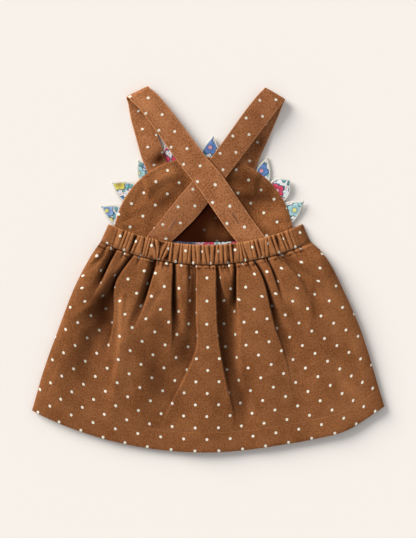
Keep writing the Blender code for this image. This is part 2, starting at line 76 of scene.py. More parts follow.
# Back waist: an arc, lower in the middle.
WAIST_CENTRE = Vector((-2.7, 298.0))
BAND_TOP_RADIUS = 271.0
SEAM_RADIUS = 293.4
WAIST_HALF_ANGLE = math.radians(24.25)

# Front waist: a flatter arc.
FRONT_CENTRE = Vector((-2.7, 490.1))
LINING_SEAM_RADIUS = 460.0
FRONT_TOP_RADIUS = 462.0
FRONT_SEAM_RADIUS = 486.0
FRONT_HALF_WIDTH = (111.0, 121.0)       # of the front waistband, at its top and at the seam

HEM_CENTRE = Vector((-5.4, 218.5))
HEM_RADIUS = 430.0
HEM_HALF_ANGLE = math.radians(28.1)
HEM_TILT = math.radians(0.8)
HEM_WAVES = [(0.76, 0.17, 7.3), (0.53, 0.12, 1.8)]      # across, half width, how much lower
SKIRT_LENGTH = 216.5
HEM_TURNING = 23.0
PRINT_UP = 15.0                 # a row of dots runs this far above the hem
SIDE_CURVE = [                  # down, how far the sides curve out
    (0.00, 0.0), (0.05, 4.6), (0.12, 8.0), (0.22, 10.0), (0.35, 10.6),
    (0.55, 9.4), (0.76, 5.9), (0.88, 2.9), (1.00, 0.0),
]
SKIRT_SHIFT = [                 # down, how far the skirt lies to the right
    (0.00, 0.0), (0.05, 1.8), (0.30, 2.0), (0.52, 2.5), (0.66, 1.6), (0.80, 0.7), (1.00, 0.4),
]
SIDE_ROLL = (8.0, 14.0)         # width of the rolled sides at the waist and lower down
ROLL_START = math.radians(-35)  # where the roll leaves the side seam
ROLL_STEPS = 14

BIB_CENTRE = Vector((-5.2, 21.3))
BIB_HALF_WIDTH = 104.7
BIB_HEIGHT = 107.0
BIB_POWER = 2.2                 # 2 is an ellipse, more is squarer

BAND_INSIDE = 5.4               # height of the back waistband's inner face
BAND_THICKNESS = 3.0
BAND_ROLL = 8.0                 # how far its ends roll in
BAND_RIDGES = 42
BAND_END = 0.07                 # each rolled end's share of the band's length
GROOVE_DEPTH = 2.9              # scale of the ridges and grooves of its gathers

SKIRT_PROFILE = [               # down, height of the ridges
    (0.00, 7.8), (0.03, 11.2), (0.08, 14.2), (0.15, 15.2),
    (0.32, 14.4), (0.60, 12.0), (0.85, 9.4), (1.00, 7.9),
]
LOWEST_FOLD = 6.4
GATHERED_DOWN_TO = 0.11         # above this the gathers squeeze the cloth across

# The folds of the back skirt. A fold is a trough between two edges, each given across the skirt
# (-1 left side, 1 right side). On its crisp side the cloth breaks sharply, over the width of the
# break; on the other it slopes, over the slope's share of the trough. Painted shade darkens the pile
# from the break in, over the dusk's share of the trough, as strongly as its darkness says.
SKIRT_FOLDS = [
    # crisp side, break, slope, dusk, darkness, [(down, left edge, right edge, depth)]
    ("right", 0.9, 0.90, 0.50, 1.0, [
        (0.00, -0.897, -0.829, 4.0), (0.04, -0.896, -0.828, 7.0), (0.13, -0.894, -0.829, 7.2),
        (0.18, -0.893, -0.830, 5.0), (0.23, -0.899, -0.838, 1.8), (0.28, -0.904, -0.848, 0.6),
        (0.33, -0.928, -0.872, 0.0), (1.00, -0.930, -0.880, 0.0),
    ]),
    ("right", 0.9, 0.80, 0.50, 1.0, [
        (0.00, -0.716, -0.667, 4.0), (0.03, -0.727, -0.680, 6.8), (0.07, -0.740, -0.698, 7.8),
        (0.12, -0.762, -0.718, 7.8), (0.17, -0.787, -0.725, 7.8), (0.23, -0.802, -0.709, 5.8),
        (0.30, -0.815, -0.678, 4.4), (0.38, -0.851, -0.660, 3.6), (0.46, -0.879, -0.655, 2.2),
        (0.58, -0.850, -0.655, 0.0), (1.00, -0.820, -0.660, 0.0),
    ]),
    ("right", 0.9, 0.60, 0.50, 1.0, [
        (0.00, -0.530, -0.451, 4.0), (0.03, -0.526, -0.450, 7.5), (0.12, -0.527, -0.460, 7.7),
        (0.20, -0.530, -0.467, 6.4), (0.28, -0.545, -0.479, 3.4), (0.38, -0.570, -0.511, 0.6),
        (0.46, -0.582, -0.527, 0.0), (1.00, -0.594, -0.540, 0.0),
    ]),
    ("left", 1.2, 0.85, 0.56, 1.0, [
        (0.00, -0.308, -0.254, 4.0), (0.03, -0.305, -0.252, 7.5), (0.12, -0.294, -0.233, 7.6),
        (0.23, -0.275, -0.192, 6.6), (0.33, -0.257, -0.157, 3.6), (0.40, -0.248, -0.150, 1.6),
        (0.48, -0.250, -0.150, 0.0), (0.78, -0.330, -0.250, 0.0), (1.00, -0.390, -0.320, 0.0),
    ]),
    ("right", 0.9, 0.90, 0.22, 0.6, [
        (0.00, -0.174, -0.089, 4.5), (0.04, -0.173, -0.091, 6.2), (0.12, -0.170, -0.094, 6.5),
        (0.23, -0.164, -0.087, 6.3), (0.33, -0.175, -0.082, 5.7), (0.40, -0.215, -0.075, 5.2),
        (0.46, -0.257, -0.087, 4.5), (0.56, -0.310, -0.130, 3.7), (0.66, -0.350, -0.178, 2.8),
        (0.77, -0.370, -0.228, 1.4), (0.86, -0.385, -0.260, 0.0), (1.00, -0.400, -0.291, 0.0),
    ]),
    ("left", 1.2, 0.40, 0.62, 0.72, [
        (0.00, 0.088, 0.129, 4.5), (0.03, 0.078, 0.121, 6.8), (0.08, 0.066, 0.115, 8.0),
        (0.13, 0.060, 0.128, 8.3), (0.18, 0.059, 0.158, 8.3), (0.23, 0.060, 0.215, 8.3),
        (0.30, 0.060, 0.227, 8.2), (0.38, 0.062, 0.219, 7.9), (0.46, 0.071, 0.208, 7.4),
        (0.56, 0.089, 0.204, 6.0), (0.66, 0.112, 0.224, 4.0), (0.77, 0.138, 0.267, 1.8),
        (0.87, 0.155, 0.295, 0.0), (1.00, 0.168, 0.316, 0.0),
    ]),
    ("right", 0.9, 0.55, 0.60, 1.0, [
        (0.00, 0.247, 0.282, 4.0), (0.03, 0.228, 0.267, 6.5), (0.07, 0.205, 0.246, 6.6),
        (0.12, 0.184, 0.231, 6.7), (0.17, 0.168, 0.222, 6.2), (0.22, 0.160, 0.215, 4.6),
        (0.28, 0.160, 0.212, 1.6), (0.33, 0.160, 0.210, 0.0), (1.00, 0.210, 0.260, 0.0),
    ]),
    ("left", 1.2, 0.80, 0.60, 0.86, [
        (0.00, 0.433, 0.470, 4.5), (0.03, 0.438, 0.480, 7.0), (0.12, 0.450, 0.491, 7.9),
        (0.23, 0.453, 0.514, 7.4), (0.30, 0.456, 0.540, 5.6), (0.38, 0.459, 0.565, 4.0),
        (0.46, 0.474, 0.583, 2.6), (0.56, 0.488, 0.596, 1.2), (0.66, 0.496, 0.598, 0.5),
        (0.76, 0.503, 0.603, 0.0), (1.00, 0.510, 0.605, 0.0),
    ]),
    ("left", 1.4, 0.70, 0.50, 1.0, [
        (0.00, 0.559, 0.597, 4.0), (0.03, 0.549, 0.582, 6.0), (0.08, 0.541, 0.580, 5.8),
        (0.14, 0.540, 0.582, 4.2), (0.20, 0.545, 0.586, 1.5), (0.26, 0.552, 0.592, 0.0),
        (1.00, 0.640, 0.680, 0.0),
    ]),
    ("left", 6.0, 0.60, 0.60, 0.35, [
        (0.00, 0.672, 0.776, 3.0), (0.04, 0.676, 0.782, 4.0), (0.12, 0.710, 0.809, 3.4),
        (0.20, 0.735, 0.845, 2.6), (0.32, 0.735, 0.844, 1.2), (0.44, 0.735, 0.830, 0.0),
        (1.00, 0.800, 0.880, 0.0),
    ]),
]
# Short gathers just below the seam.
SMALL_GATHERS = [
    # across, reach, depth
    (-0.930, 0.07, 2.0), (-0.763, 0.06, 2.5), (-0.614, 0.08, 2.2), (-0.492, 0.11, 4.5),
    (-0.430, 0.05, 2.0), (-0.387, 0.06, 2.6), (-0.340, 0.05, 2.0), (-0.156, 0.18, 3.6),
    (-0.120, 0.05, 2.0), (-0.030, 0.03, 1.2), (0.035, 0.05, 2.4), (0.140, 0.07, 3.0),
    (0.172, 0.07, 2.6), (0.196, 0.09, 3.4), (0.330, 0.05, 1.6), (0.385, 0.07, 3.4),
    (0.540, 0.07, 2.6), (0.665, 0.07, 2.6), (0.820, 0.06, 2.0), (0.890, 0.07, 2.0),
    (0.950, 0.05, 1.4),
]
# Soft ridges and dents that run their own way.
SKIRT_CREASES = [
    # from x, y,      to x, y,        half width, height
    (100.0, 24.1, 135.7, 6.9, 2.4, 2.6),
    (108.0, 27.4, 134.6, 15.0, 4.6, -3.4),
    (-117.3, 24.0, -146.0, -3.0, 2.0, 2.6),
    (-118.0, 18.0, -140.0, -6.0, 2.6, -2.2),
    (-112.0, -5.0, -135.7, -43.1, 4.0, 1.6),
    (-135.7, -43.1, -164.0, -60.5, 4.0, 1.8),
    (-124.0, -48.0, -156.0, -72.0, 6.0, -1.4),
    (-115.0, -71.0, -135.7, -118.0, 6.0, 1.5),
    (-97.7, -30.5, -101.0, -85.0, 3.0, 1.3),
    (-101.0, -85.0, -110.4, -157.0, 3.2, 1.2),
    (-108.0, -110.0, -114.0, -140.0, 5.0, -1.2),
    (-59.8, -24.7, -84.0, -65.0, 4.0, 1.2),
    (119.0, -16.0, 116.0, -88.0, 4.0, 0.9),
]
# Strokes of painted shade and painted light on the pile: painted shade where amount is above zero,
# painted light where it is below. A stroke is strongest where it starts and fades towards its end.
SKIRT_PAINTED_SHADING = [
    # from x, y,      to x, y,        half width, amount
    (-113, -8, -128, -105, 9.0, 0.30),
    (-133, -36, -150, -122, 10.5, 0.36),
    (-69, -83, -49, -151, 15.0, 0.36),
    (-56, -59, -40, -94, 8.0, 0.31),
    (-25, -30, -25, -105, 8.0, 0.16),
    (23, -19, 25, -82, 8.0, 0.32),
    (30, -80, 37, -163, 8.0, 0.18),
    (120, -2, 126, -94, 9.0, 0.06),
    (-34, -146, -55, -197, 11.5, 0.29),
    (-3, -8, -7, -151, 9.0, -0.12),
    (-110, 2, -168, -62, 3.5, -0.09),
    (-101, -35, -101, -163, 3.5, -0.38),
    (-58, -35, -94, -88, 5.0, -0.32),
    (42, -25, 52, -151, 10.5, -0.07),
    (94, -34, 108, -50, 7.0, -0.37),
    (-58, 8, -48, -42, 6.0, -0.34),
    (156, -134, 182, -151, 6.0, -0.26),
    (-153, -94, -126, -151, 10.5, 0.28),
    (-64, -117, -49, -163, 10.5, 0.27),
    (-78, -157, -49, -197, 10.5, 0.18),
    (-26, -88, -34, -128, 10.5, 0.48),
    (42, -128, 37, -180, 10.5, 0.33),
    (94, -48, 120, -105, 9.0, 0.21),
    (88, 13, 109, 1, 6.0, 0.40),
    (107, 1, 120, -8, 4.5, 0.31),
    (106, -4, 113, -30, 6.0, -0.07),
    (152, -122, 184, -180, 11.5, -0.24),
    (-141, 8, -122, 21, 6.0, -0.20),
    (-72, -71, -67, -111, 4.5, -0.23),
    (-120, -36, -124, -94, 10.5, 0.54),
    (140, -36, 158, -105, 10.5, -0.21),
    (-105, 12, -109, -8, 3.5, 0.18),
    (54, -36, 62, -94, 9.0, -0.14),
    (8, -151, 8, -197, 9.0, 0.15),
    (-90, -105, -90, -174, 9.0, -0.09),
    (83, -140, 94, -186, 10.5, -0.08),
    (-145, -8, -153, -36, 6.0, -0.06),
    (163, -82, 180, -128, 7.0, -0.07),
    (-37, -2, -30, -25, 6.0, 0.07),
    (-9, -36, -3, -94, 7.0, -0.09),
    (163, -57, 196, -151, 6.0, -0.26),
    (196, -151, 163, -57, 6.0, -0.22),
    (159, -165, 117, -197, 14.0, -0.22),
    (-163, -108, -161, -142, 9.0, 0.22),
    (-140, -76, -133, -108, 7.0, 0.30),
    (-71, -137, -67, -165, 12.5, 0.20),
    (41, -149, 37, -183, 9.0, 0.16),
    (-93, -40, -97, -96, 4.5, -0.30),
    (92, -105, 97, -147, 6.0, -0.28),
]
# Painted shade and painted light on the bib's lining, given as strokes like the skirt's.
LINING_PAINTED_SHADING = [
    # from x, y,      to x, y,        half width, amount
    (28, 111, 62, 95, 14.0, 0.52),
    (69, 82, 32, 87, 9.0, 0.62),
    (37, 83, 64, 79, 7.0, 0.40),
    (48, 70, 37, 81, 7.0, 0.42),
    (69, 96, 37, 104, 9.0, 0.38),
    (62, 125, 53, 111, 7.0, 0.15),
    (58, 47, 87, 70, 7.0, -0.20),
    (-30, 97, -69, 58, 8.0, 0.46),
    (-67, 60, -37, 90, 7.0, 0.24),
    (-51, 83, -67, 72, 8.0, 0.10),
    (-37, 113, -67, 98, 8.0, -0.42),
    (-58, 104, -32, 114, 7.0, -0.16),
    (-87, 65, -78, 83, 8.0, -0.08),
    (58, 49, 69, 35, 7.0, 0.42),
    (-67, 49, -60, 35, 7.0, 0.12),
]
# Painted shade and painted light on the straps, given as strokes like the skirt's: for each strap, its front
# stretch and then its back stretch.
LEFT_FRONT_PAINTED_SHADING = [
    # from x, y,      to x, y,        half width, amount
    (-83, 194, -67, 166, 7.0, 0.45),
    (-52, 130, -63, 121, 8.0, 0.85),
    (-62, 122, -52, 127, 7.0, 0.50),
]
LEFT_BACK_PAINTED_SHADING = [
    # from x, y,      to x, y,        half width, amount
    (-49, 190, -3, 136, 4.5, -0.25),
    (-67, 188, -21, 125, 6.0, -0.20),
    (-15, 125, 20, 73, 7.0, 0.08),
    (20, 79, 62, 21, 8.0, -0.10),
    (-78, 194, -49, 165, 7.0, -0.19),
]
RIGHT_FRONT_PAINTED_SHADING = [
    # from x, y,      to x, y,        half width, amount
    (62, 144, 41, 104, 9.0, 0.62),
    (51, 118, 37, 109, 7.0, 0.40),
    (74, 180, 64, 154, 6.0, -0.35),
]
RIGHT_BACK_PAINTED_SHADING = [
    # from x, y,      to x, y,        half width, amount
    (62, 185, 32, 125, 9.0, 0.14),
    (-26, 90, -67, 42, 14.0, -0.20),
    (-61, 47, -21, 96, 11.5, -0.12),
]
# Broad swells and hollows of the back skirt.
SKIRT_SWELLS = [
    # across, down, half width, half length, height
    (-0.74, 0.52, 0.08, 0.26, -2.6),
    (-0.56, 0.62, 0.05, 0.40, 1.8),
    (-0.34, 0.64, 0.09, 0.24, -2.6),
    (-0.24, 0.84, 0.08, 0.20, -1.8),
    (0.00, 0.80, 0.12, 0.40, 1.6),
    (0.20, 0.80, 0.06, 0.20, -1.8),
    (0.36, 0.70, 0.10, 0.36, 1.8),
    (0.56, 0.56, 0.07, 0.24, -2.0),
    (0.72, 0.72, 0.09, 0.34, 1.5),
    (-0.86, 0.78, 0.08, 0.30, 1.6),
]

# Each petal's place on the bib's rim and the way it points are degrees from +X. The rest of its
# row is its shape, in millimetres, and the part and colour of the print that it shows.
PETALS = [
    # name,      rim,   points, length, width, lift, bluntness, print x, print y, turn, colour
    ("petal_1", 158.3, 150.0, 23.0, 23.0, 1.0, 1.5, 0.0, 0.0, 0, 0.12),
    ("petal_2", 142.4, 150.0, 23.6, 25.0, 0.6, 1.6, 50.0, 0.0, 20, 0.28),
    ("petal_3", 126.3, 125.0, 19.5, 24.0, 0.0, 1.6, 100.0, 0.0, 40, 0.90),
    ("petal_4", 110.7, 106.0, 20.7, 23.0, 0.0, 1.6, 150.0, 0.0, 0, 0.75),
    ("petal_5", 86.0, 82.0, 25.3, 24.0, 1.6, 1.7, 200.0, 0.0, 10, 0.50),
    ("petal_6", 68.5, 75.0, 23.0, 23.0, 0.0, 1.6, 250.0, 0.0, 0, 0.30),
    ("petal_7", 51.3, 76.0, 22.5, 19.5, 0.3, 1.7, 300.0, 0.0, 70, 0.58),
    ("petal_8", 38.2, 44.0, 19.5, 27.0, 3.0, 2.8, 350.0, 0.0, 30, 0.72),
    ("petal_9", 23.4, 38.0, 22.4, 24.0, 2.4, 1.6, 400.0, 0.0, 55, 0.00),
]
PETAL_ROOT = 4.0
EDGING = (2.8, 1.6)             # width and height of the satin-stitched edge

# Each strap's two edges: its front stretch from the bib up, its back stretch from the shoulder down.
LEFT_FRONT = [
    # arm x, y, z,      neck x, y, z
    (-66.5, 104.0, 3.8, -44.0, 113.5, 3.8),
    (-70.2, 112.2, 3.8, -47.0, 121.0, 3.8),
    (-76.5, 127.5, 3.8, -51.5, 135.0, 4.4),
    (-83.0, 150.6, 3.0, -59.4, 156.8, 4.4),
    (-88.9, 172.5, 1.8, -65.0, 180.5, 2.6),
    (-92.4, 191.9, 1.4, -67.9, 207.3, 1.4),
]
LEFT_BACK = [
    (-88.6, 192.6, 11.8, -66.9, 207.3, 6.6),
    (-79.5, 184.2, 12.4, -58.4, 200.4, 7.8),
    (-72.1, 174.9, 12.4, -50.5, 191.4, 8.2),
    (-60.9, 159.6, 11.8, -38.6, 176.9, 8.6),
    (-44.9, 137.0, 10.6, -21.6, 154.3, 8.8),
    (-27.6, 113.3, 9.4, -3.7, 130.2, 9.2),
    (-9.2, 89.7, 8.4, 16.1, 107.1, 10.4),
    (6.9, 66.1, 7.2, 32.4, 83.4, 7.8),
    (23.0, 43.1, 4.8, 48.3, 60.3, 5.0),
    (34.5, 28.8, 4.1, 59.2, 45.4, 4.1),
    (43.7, 15.5, 4.0, 69.0, 32.2, 4.0),
]

RIGHT_FRONT = [
    (51.0, 106.8, 3.8, 28.5, 117.5, 3.8),
    (54.9, 115.6, 3.8, 31.5, 126.0, 3.8),
    (62.5, 134.0, 3.8, 38.5, 144.0, 4.0),
    (71.6, 154.0, 2.6, 47.5, 164.0, 3.4),
    (80.3, 174.2, 1.6, 56.0, 184.5, 2.0),
    (86.8, 190.6, 1.4, 64.6, 206.1, 1.4),
]
RIGHT_BACK = [
    (85.6, 190.4, 10.2, 63.8, 206.1, 6.0),
    (77.6, 179.3, 10.8, 55.8, 197.8, 6.8),
    (64.2, 161.9, 10.8, 41.2, 179.4, 7.0),
    (46.9, 138.8, 9.8, 24.7, 156.4, 7.0),
    (29.3, 115.8, 8.4, 8.1, 133.4, 6.8),
    (15.9, 98.0, 7.0, -5.2, 115.6, 6.0),
    (4.4, 81.4, 5.6, -18.4, 100.1, 5.2),
    (-12.7, 59.5, 4.4, -36.2, 79.4, 4.4),
    (-30.5, 41.5, 4.1, -54.1, 56.4, 4.1),
    (-46.6, 26.2, 4.1, -69.0, 38.5, 4.1),
    (-57.5, 15.5, 4.0, -79.4, 25.9, 4.0),
]

STRAP_STITCH_IN = 2.4           # the edge stitching of the straps, in from their edges
STRAP_ROUNDNESS = (0.38, 0.42)  # of its section, across and up: 1 is an ellipse, 0 a box
STRAP_SQUEEZE = 0.95            # the straps' cloth was cut a little narrower than it lies
# How far along each strap its dots lie, counted in spaces of the print.
LEFT_DOTS = [(0.0, -5.0), (129.0, 0.0), (202.0, 3.0), (227.7, 4.0), (257.4, 5.0), (286.7, 6.0), (340.0, 7.8)]
RIGHT_DOTS = [
    (0.0, -5.5), (130.0, 0.0), (156.0, 1.0), (181.3, 2.0), (206.0, 3.0), (232.4, 4.0), (258.7, 5.0),
    (285.0, 6.0), (340.0, 8.2),
]
STRAPS = [
    {
        "name": "strap_left",
        "front": LEFT_FRONT,
        "back": LEFT_BACK,
        "facing": (-0.492, 0.871),          # which way the fold over the shoulder points
        "dots": LEFT_DOTS,
        "first_column": -11.3,              # where the first column of dots lies across the strap
        "inner_dots": (-2.4, 12.3, 21.6),   # across, along and spacing of the inner face's dots
        "painted_shading": (LEFT_FRONT_PAINTED_SHADING, LEFT_BACK_PAINTED_SHADING),
        "dusk": 0.0,                        # how dark the back stretch is all over
        "buttonhole": 287.0,                # how far along
    },
    {
        "name": "strap_right",
        "front": RIGHT_FRONT,
        "back": RIGHT_BACK,
        "facing": (0.553, 0.832),
        "dots": RIGHT_DOTS,
        "first_column": -5.5,
        "inner_dots": (-3.4, 14.1, 23.2),
        "painted_shading": (RIGHT_FRONT_PAINTED_SHADING, RIGHT_BACK_PAINTED_SHADING),
        "dusk": 0.28,
        "buttonhole": 292.5,
    },
]


# --------------------------------------------------------------------- settings


def length(name, description, default):
    """A setting in metres."""
    return bpy.props.FloatProperty(
        name=name, description=description, default=default, min=0, unit="LENGTH", precision=5
    )


def colour(name, description, default):
    """A setting that holds a colour."""
    return bpy.props.FloatVectorProperty(
        name=name, description=description, default=default, min=0, max=1, size=3, subtype="COLOR"
    )


class PinaforeCloth(bpy.types.PropertyGroup):
    """Sizes and colours of the cloth."""

    dot_spacing: length("Dot spacing", "Distance between the dots in a row", DOT_SPACING * MM)
    dot_size: length("Dot size", "Width of a printed dot", 0.0031)
    wale_pitch: length("Wale pitch", "Width of one wale of the needlecord", 0.0012)
    stitch_length: length("Stitch length", "Length of one machine stitch", 0.0024)
    cord_colour: colour("Cord", "Colour of the needlecord", (0.262, 0.096, 0.033))
    # The straps' needlecord is lighter than the dress's: painted sheen, for the light that their pile
    # catches.
    strap_colour: colour("Straps", "Colour of the straps' brushed needlecord", (0.390, 0.147, 0.056))
    lining_colour: colour("Bib lining", "Colour of the bib's lining", (0.292, 0.104, 0.034))
    dot_colour: colour("Dots", "Colour of the printed dots", (0.95, 0.89, 0.73))
    thread_colour: colour("Thread", "Colour of the sewing thread", (0.42, 0.21, 0.10))
    edging_colour: colour("Petal edging", "Colour of the satin stitch round the petals", (0.86, 0.83, 0.74))


class PinaforeStage(bpy.types.PropertyGroup):
    """Floor, light and camera."""

    floor_colour: colour("Floor", "Colour of the floor", (0.939, 0.879, 0.815))
    sun_share: bpy.props.FloatProperty(
        name="Sun share", description="Share of the light that comes from the soft main light",
        default=0.54, min=0, max=1, subtype="FACTOR",
    )
    sun_bearing: bpy.props.FloatProperty(
        name="Sun bearing", description="Where the main light stands, anticlockwise from +X",
        default=math.radians(142), subtype="ANGLE",
    )
    sun_height: bpy.props.FloatProperty(
        name="Sun height", description="Angle of the main light above the floor",
        default=math.radians(25), subtype="ANGLE",
    )
    sun_softness: bpy.props.FloatProperty(
        name="Softness", description="Apparent width of the main light",
        default=math.radians(37), subtype="ANGLE",
    )
    camera_height: length("Camera height", "Height of the camera above the floor", 2.5)


# ---------------------------------------------------------------- small helpers


def smooth(x):
    """0 to 1, eased at both ends."""
    x = min(max(x, 0.0), 1.0)
    return x * x * (3 - 2 * x)


def bell(x):
    """1 at zero, falling off softly on both sides."""
    return math.exp(-x * x)


def on_table(table, x):
    """The value of a two-column table at x, on a smooth curve through its rows."""
    slopes = [(b[1] - a[1]) / (b[0] - a[0]) for a, b in zip(table, table[1:])]
    slopes = [slopes[0], *((a + b) / 2 for a, b in zip(slopes, slopes[1:])), slopes[-1]]
    for k, ((low, a), (high, b)) in enumerate(zip(table, table[1:])):
        if x <= high:
            break
    span = high - low
    t = (x - low) / span
    bend = span * t * (1 - t) * (slopes[k] * (1 - t) - slopes[k + 1] * t)
    return a + (b - a) * smooth(t) + bend


def on_arc(centre, radius, angle):
    """A point in plan on an arc, with angle 0 straight down."""
    return centre + radius * Vector((math.sin(angle), -math.cos(angle)))


def angle_at(centre, point):
    """The angle on an arc round the centre at which a point in plan lies."""
    away = point - centre
    return math.atan2(away.x, -away.y)


def spline(points, steps):
    """Points of a Catmull-Rom curve through the given ones."""
    line = [points[0] * 2 - points[1], *points, points[-1] * 2 - points[-2]]
    out = []
    for a, b, c, d in zip(line, line[1:], line[2:], line[3:]):
        for k in range(steps):
            t = k / steps
            out.append(
                0.5 * (b * 2 + (c - a) * t + (a * 2 - b * 5 + c * 4 - d) * t**2
                       + (b * 3 - a - c * 3 + d) * t**3)
            )
    out.append(points[-1])
    return out


def lengths_along(points):
    """Distance from the first point to each, along the line."""
    total, out = 0.0, [0.0]
    for a, b in zip(points, points[1:]):
        total += (b - a).length
        out.append(total)
    return out


def at_length(points, marks, wanted, start=0):
    """The point at a distance along a line, and the step it lies in."""
    k = start
    while k < len(marks) - 2 and marks[k + 1] < wanted:
        k += 1
    span = marks[k + 1] - marks[k]
    t = (wanted - marks[k]) / span if span else 0.0
    return points[k].lerp(points[k + 1], t), k


def unevenness(x, y, scale, seed=0.0):
    """Smooth noise between about -1 and 1, for cloth that never lies quite flat."""
    return noise.noise(Vector((x / scale, y / scale, seed)))


def crease(point, table):
    """What the strokes of a table add at a point in plan. A stroke fades towards its far end."""
    total = 0.0
    for x1, y1, x2, y2, half, height in table:
        start, run = Vector((x1, y1)), Vector((x2 - x1, y2 - y1))
        share = min(max((point - start).dot(run) / run.length_squared, 0), 1)
        off = (point - start - run * share).length / half
        total += height * bell(off) * smooth(1.15 - share)
    return total


def painted_light_and_shade(point, table):
    """How much painted shade and painted light a table's strokes leave on the pile at a point."""
    total = crease(point.to_2d(), table)
    return max(total, 0.0), max(-total, 0.0)


# ----------------------------------------------------------------- making pieces


def flat_cloth(columns, rows):
    """A flat grid of cloth, from (0, 0) to (1, 1)."""
    bm = bmesh.new()
    bmesh.ops.create_grid(bm, x_segments=columns, y_segments=rows, size=0.5)
    bmesh.ops.translate(bm, vec=(0.5, 0.5, 0), verts=bm.verts)
    return bm


def lay(bm, place, cut, painted_lighting_and_wear=None, shade=None):
    """Moves the grid's points into place. cut gives a point's place on the cloth as it was cut."""
    cloth = bm.loops.layers.uv.new("cut")
    # The two numbers painted on the points: on the needlecord they carry painted light with wear, and
    # painted shade; on the cotton, painted shade and the choice of the flowers' colour.
    layers = [(bm.verts.layers.float.new(name), rule) for name, rule in (("painted_lighting_and_wear", painted_lighting_and_wear), ("shade", shade))]
    spots = {v: (v.co.x, v.co.y) for v in bm.verts}
    for face in bm.faces:
        for loop in face.loops:
            loop[cloth].uv = Vector(cut(*spots[loop.vert])) * MM
    for v, spot in spots.items():
        for layer, rule in layers:
            if rule:
                v[layer] = rule(*spot)
        v.co = place(*spot)


def finish_piece(name, bm, materials, nodes=(), thickness=None, smooth_edges=60):
    """Makes the object of a piece, in metres, parents it to the body and hides the model's parts that it
    replaces.
    """
    bmesh.ops.scale(bm, vec=(MM, MM, MM), verts=bm.verts)
    mesh = bpy.data.meshes.new(name)
    bm.to_mesh(mesh)
    bm.free()
    mesh.shade_smooth()
    for material in materials:
        mesh.materials.append(material)
    piece = bpy.data.objects.new(name, mesh)
    bpy.context.scene.collection.objects.link(piece)
    if thickness:
        solid = piece.modifiers.new("Thickness", "SOLIDIFY")
        solid.thickness = thickness * MM
        solid.offset = 0
        solid.use_even_offset = False
        edge = piece.modifiers.new("Turned edge", "BEVEL")
        edge.limit_method = "ANGLE"
        edge.angle_limit = math.radians(smooth_edges)
        edge.width = 0.3 * thickness * MM
        edge.segments = 2
        edge.use_clamp_overlap = True
    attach(piece, "root")
    if nodes:
        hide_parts(*nodes)
    return piece


def close_tube(bm):
    """Joins a tube's long seam and closes its ends, with its faces outwards."""
    bmesh.ops.remove_doubles(bm, verts=bm.verts, dist=MERGE)
    bmesh.ops.holes_fill(bm, edges=[edge for edge in bm.edges if edge.is_boundary], sides=0)
    bmesh.ops.recalc_face_normals(bm, faces=bm.faces)


def stitches(bm, line, stitch, width, sink=0.3):
    """A run of machine stitches along a line of (point, normal)."""
    points = [p for p, _ in line]
    marks = lengths_along(points)
    count = max(int(marks[-1] / (stitch * 1.3)), 1)
    pitch = marks[-1] / count
    k = 0
    for n in range(count):
        middle, k = at_length(points, marks, (n + 0.5) * pitch, k)
        along = (points[k + 1] - points[k]).normalized()
        up = line[k][1]
        side = up.cross(along).normalized()
        up = along.cross(side)
        turn = Matrix((along, side, up)).transposed().to_4x4()
        size = Matrix.Diagonal((stitch / 2, width / 2, width / 2, 1))
        spot = Matrix.Translation(middle + up * width * (0.5 - sink))
        bmesh.ops.create_icosphere(bm, subdivisions=1, radius=1, matrix=spot @ turn @ size)


# -------------------------------------------------------------------- materials


def dyed(dye, *strengths):
    """A colour times one strength, or one for each of its channels."""
    strengths = strengths * 3 if len(strengths) == 1 else strengths
    return tuple(min(c * strength, 1.0) for c, strength in zip(dye, strengths))


def made_once(name, make, *feeds):
    """The material of this name, made the first time that it is asked for."""
    return bpy.data.materials.get(name) or make(name, *feeds)


def step(tree, kind, *feeds, **settings):
    """Adds a node, joins or fills its first inputs in order and gives its first output."""
    node = tree.nodes.new("ShaderNode" + kind)
    for name, value in settings.items():
        setattr(node, name, value)
    for socket, feed in zip(node.inputs, feeds):
        if isinstance(feed, bpy.types.NodeSocket):
            tree.links.new(feed, socket)
        elif feed is not None:
            socket.default_value = feed
    return node.outputs[0]


def calc(tree, operation, *feeds):
    """The result of a sum, a product or another operation on numbers."""
    return step(tree, "Math", *feeds, operation=operation)


def blended(tree, factor, low, high):
    """Two colours blended by a factor."""
    node = tree.nodes.new("ShaderNodeMix")
    node.data_type = "RGBA"
    for index, feed in ((0, factor), (6, low), (7, high)):
        socket = node.inputs[index]
        if isinstance(feed, bpy.types.NodeSocket):
            tree.links.new(feed, socket)
        elif index:
            socket.default_value = (*feed, 1.0)
        else:
            socket.default_value = feed
    return node.outputs[2]


def ramp(tree, value, low, high, out_low=0.0, out_high=1.0):
    """A value eased from one range to another and held at its ends."""
    return step(
        tree, "MapRange", value, low, high, out_low, out_high, interpolation_type="SMOOTHSTEP"
    )


def grain(tree, place, scale, detail=2.0, roughness=0.5):
    """Noise between 0 and 1; scale is in waves per metre."""
    return step(tree, "TexNoise", place, None, scale, detail, roughness)


def new_material(name, roughness, sheen, tint=(1, 1, 1), specular=0.3):
    """A material with its node tree and its shader."""
    material = bpy.data.materials.new(name)
    material.use_nodes = True
    tree = material.node_tree
    shader = tree.nodes["Principled BSDF"]
    shader.inputs["Roughness"].default_value = roughness
    shader.inputs["Specular IOR Level"].default_value = specular
    shader.inputs["Sheen Weight"].default_value = sheen
    shader.inputs["Sheen Roughness"].default_value = 0.45
    shader.inputs["Sheen Tint"].default_value = (*tint, 1.0)
    return material, tree, shader


def cut_place(tree):
    """The piece's place on the cloth, in metres, whole and as two numbers."""
    node = tree.nodes.new("ShaderNodeUVMap")
    node.uv_map = "cut"
    split = tree.nodes.new("ShaderNodeSeparateXYZ")
    tree.links.new(node.outputs[0], split.inputs[0])
    return node.outputs[0], split.outputs[0], split.outputs[1]


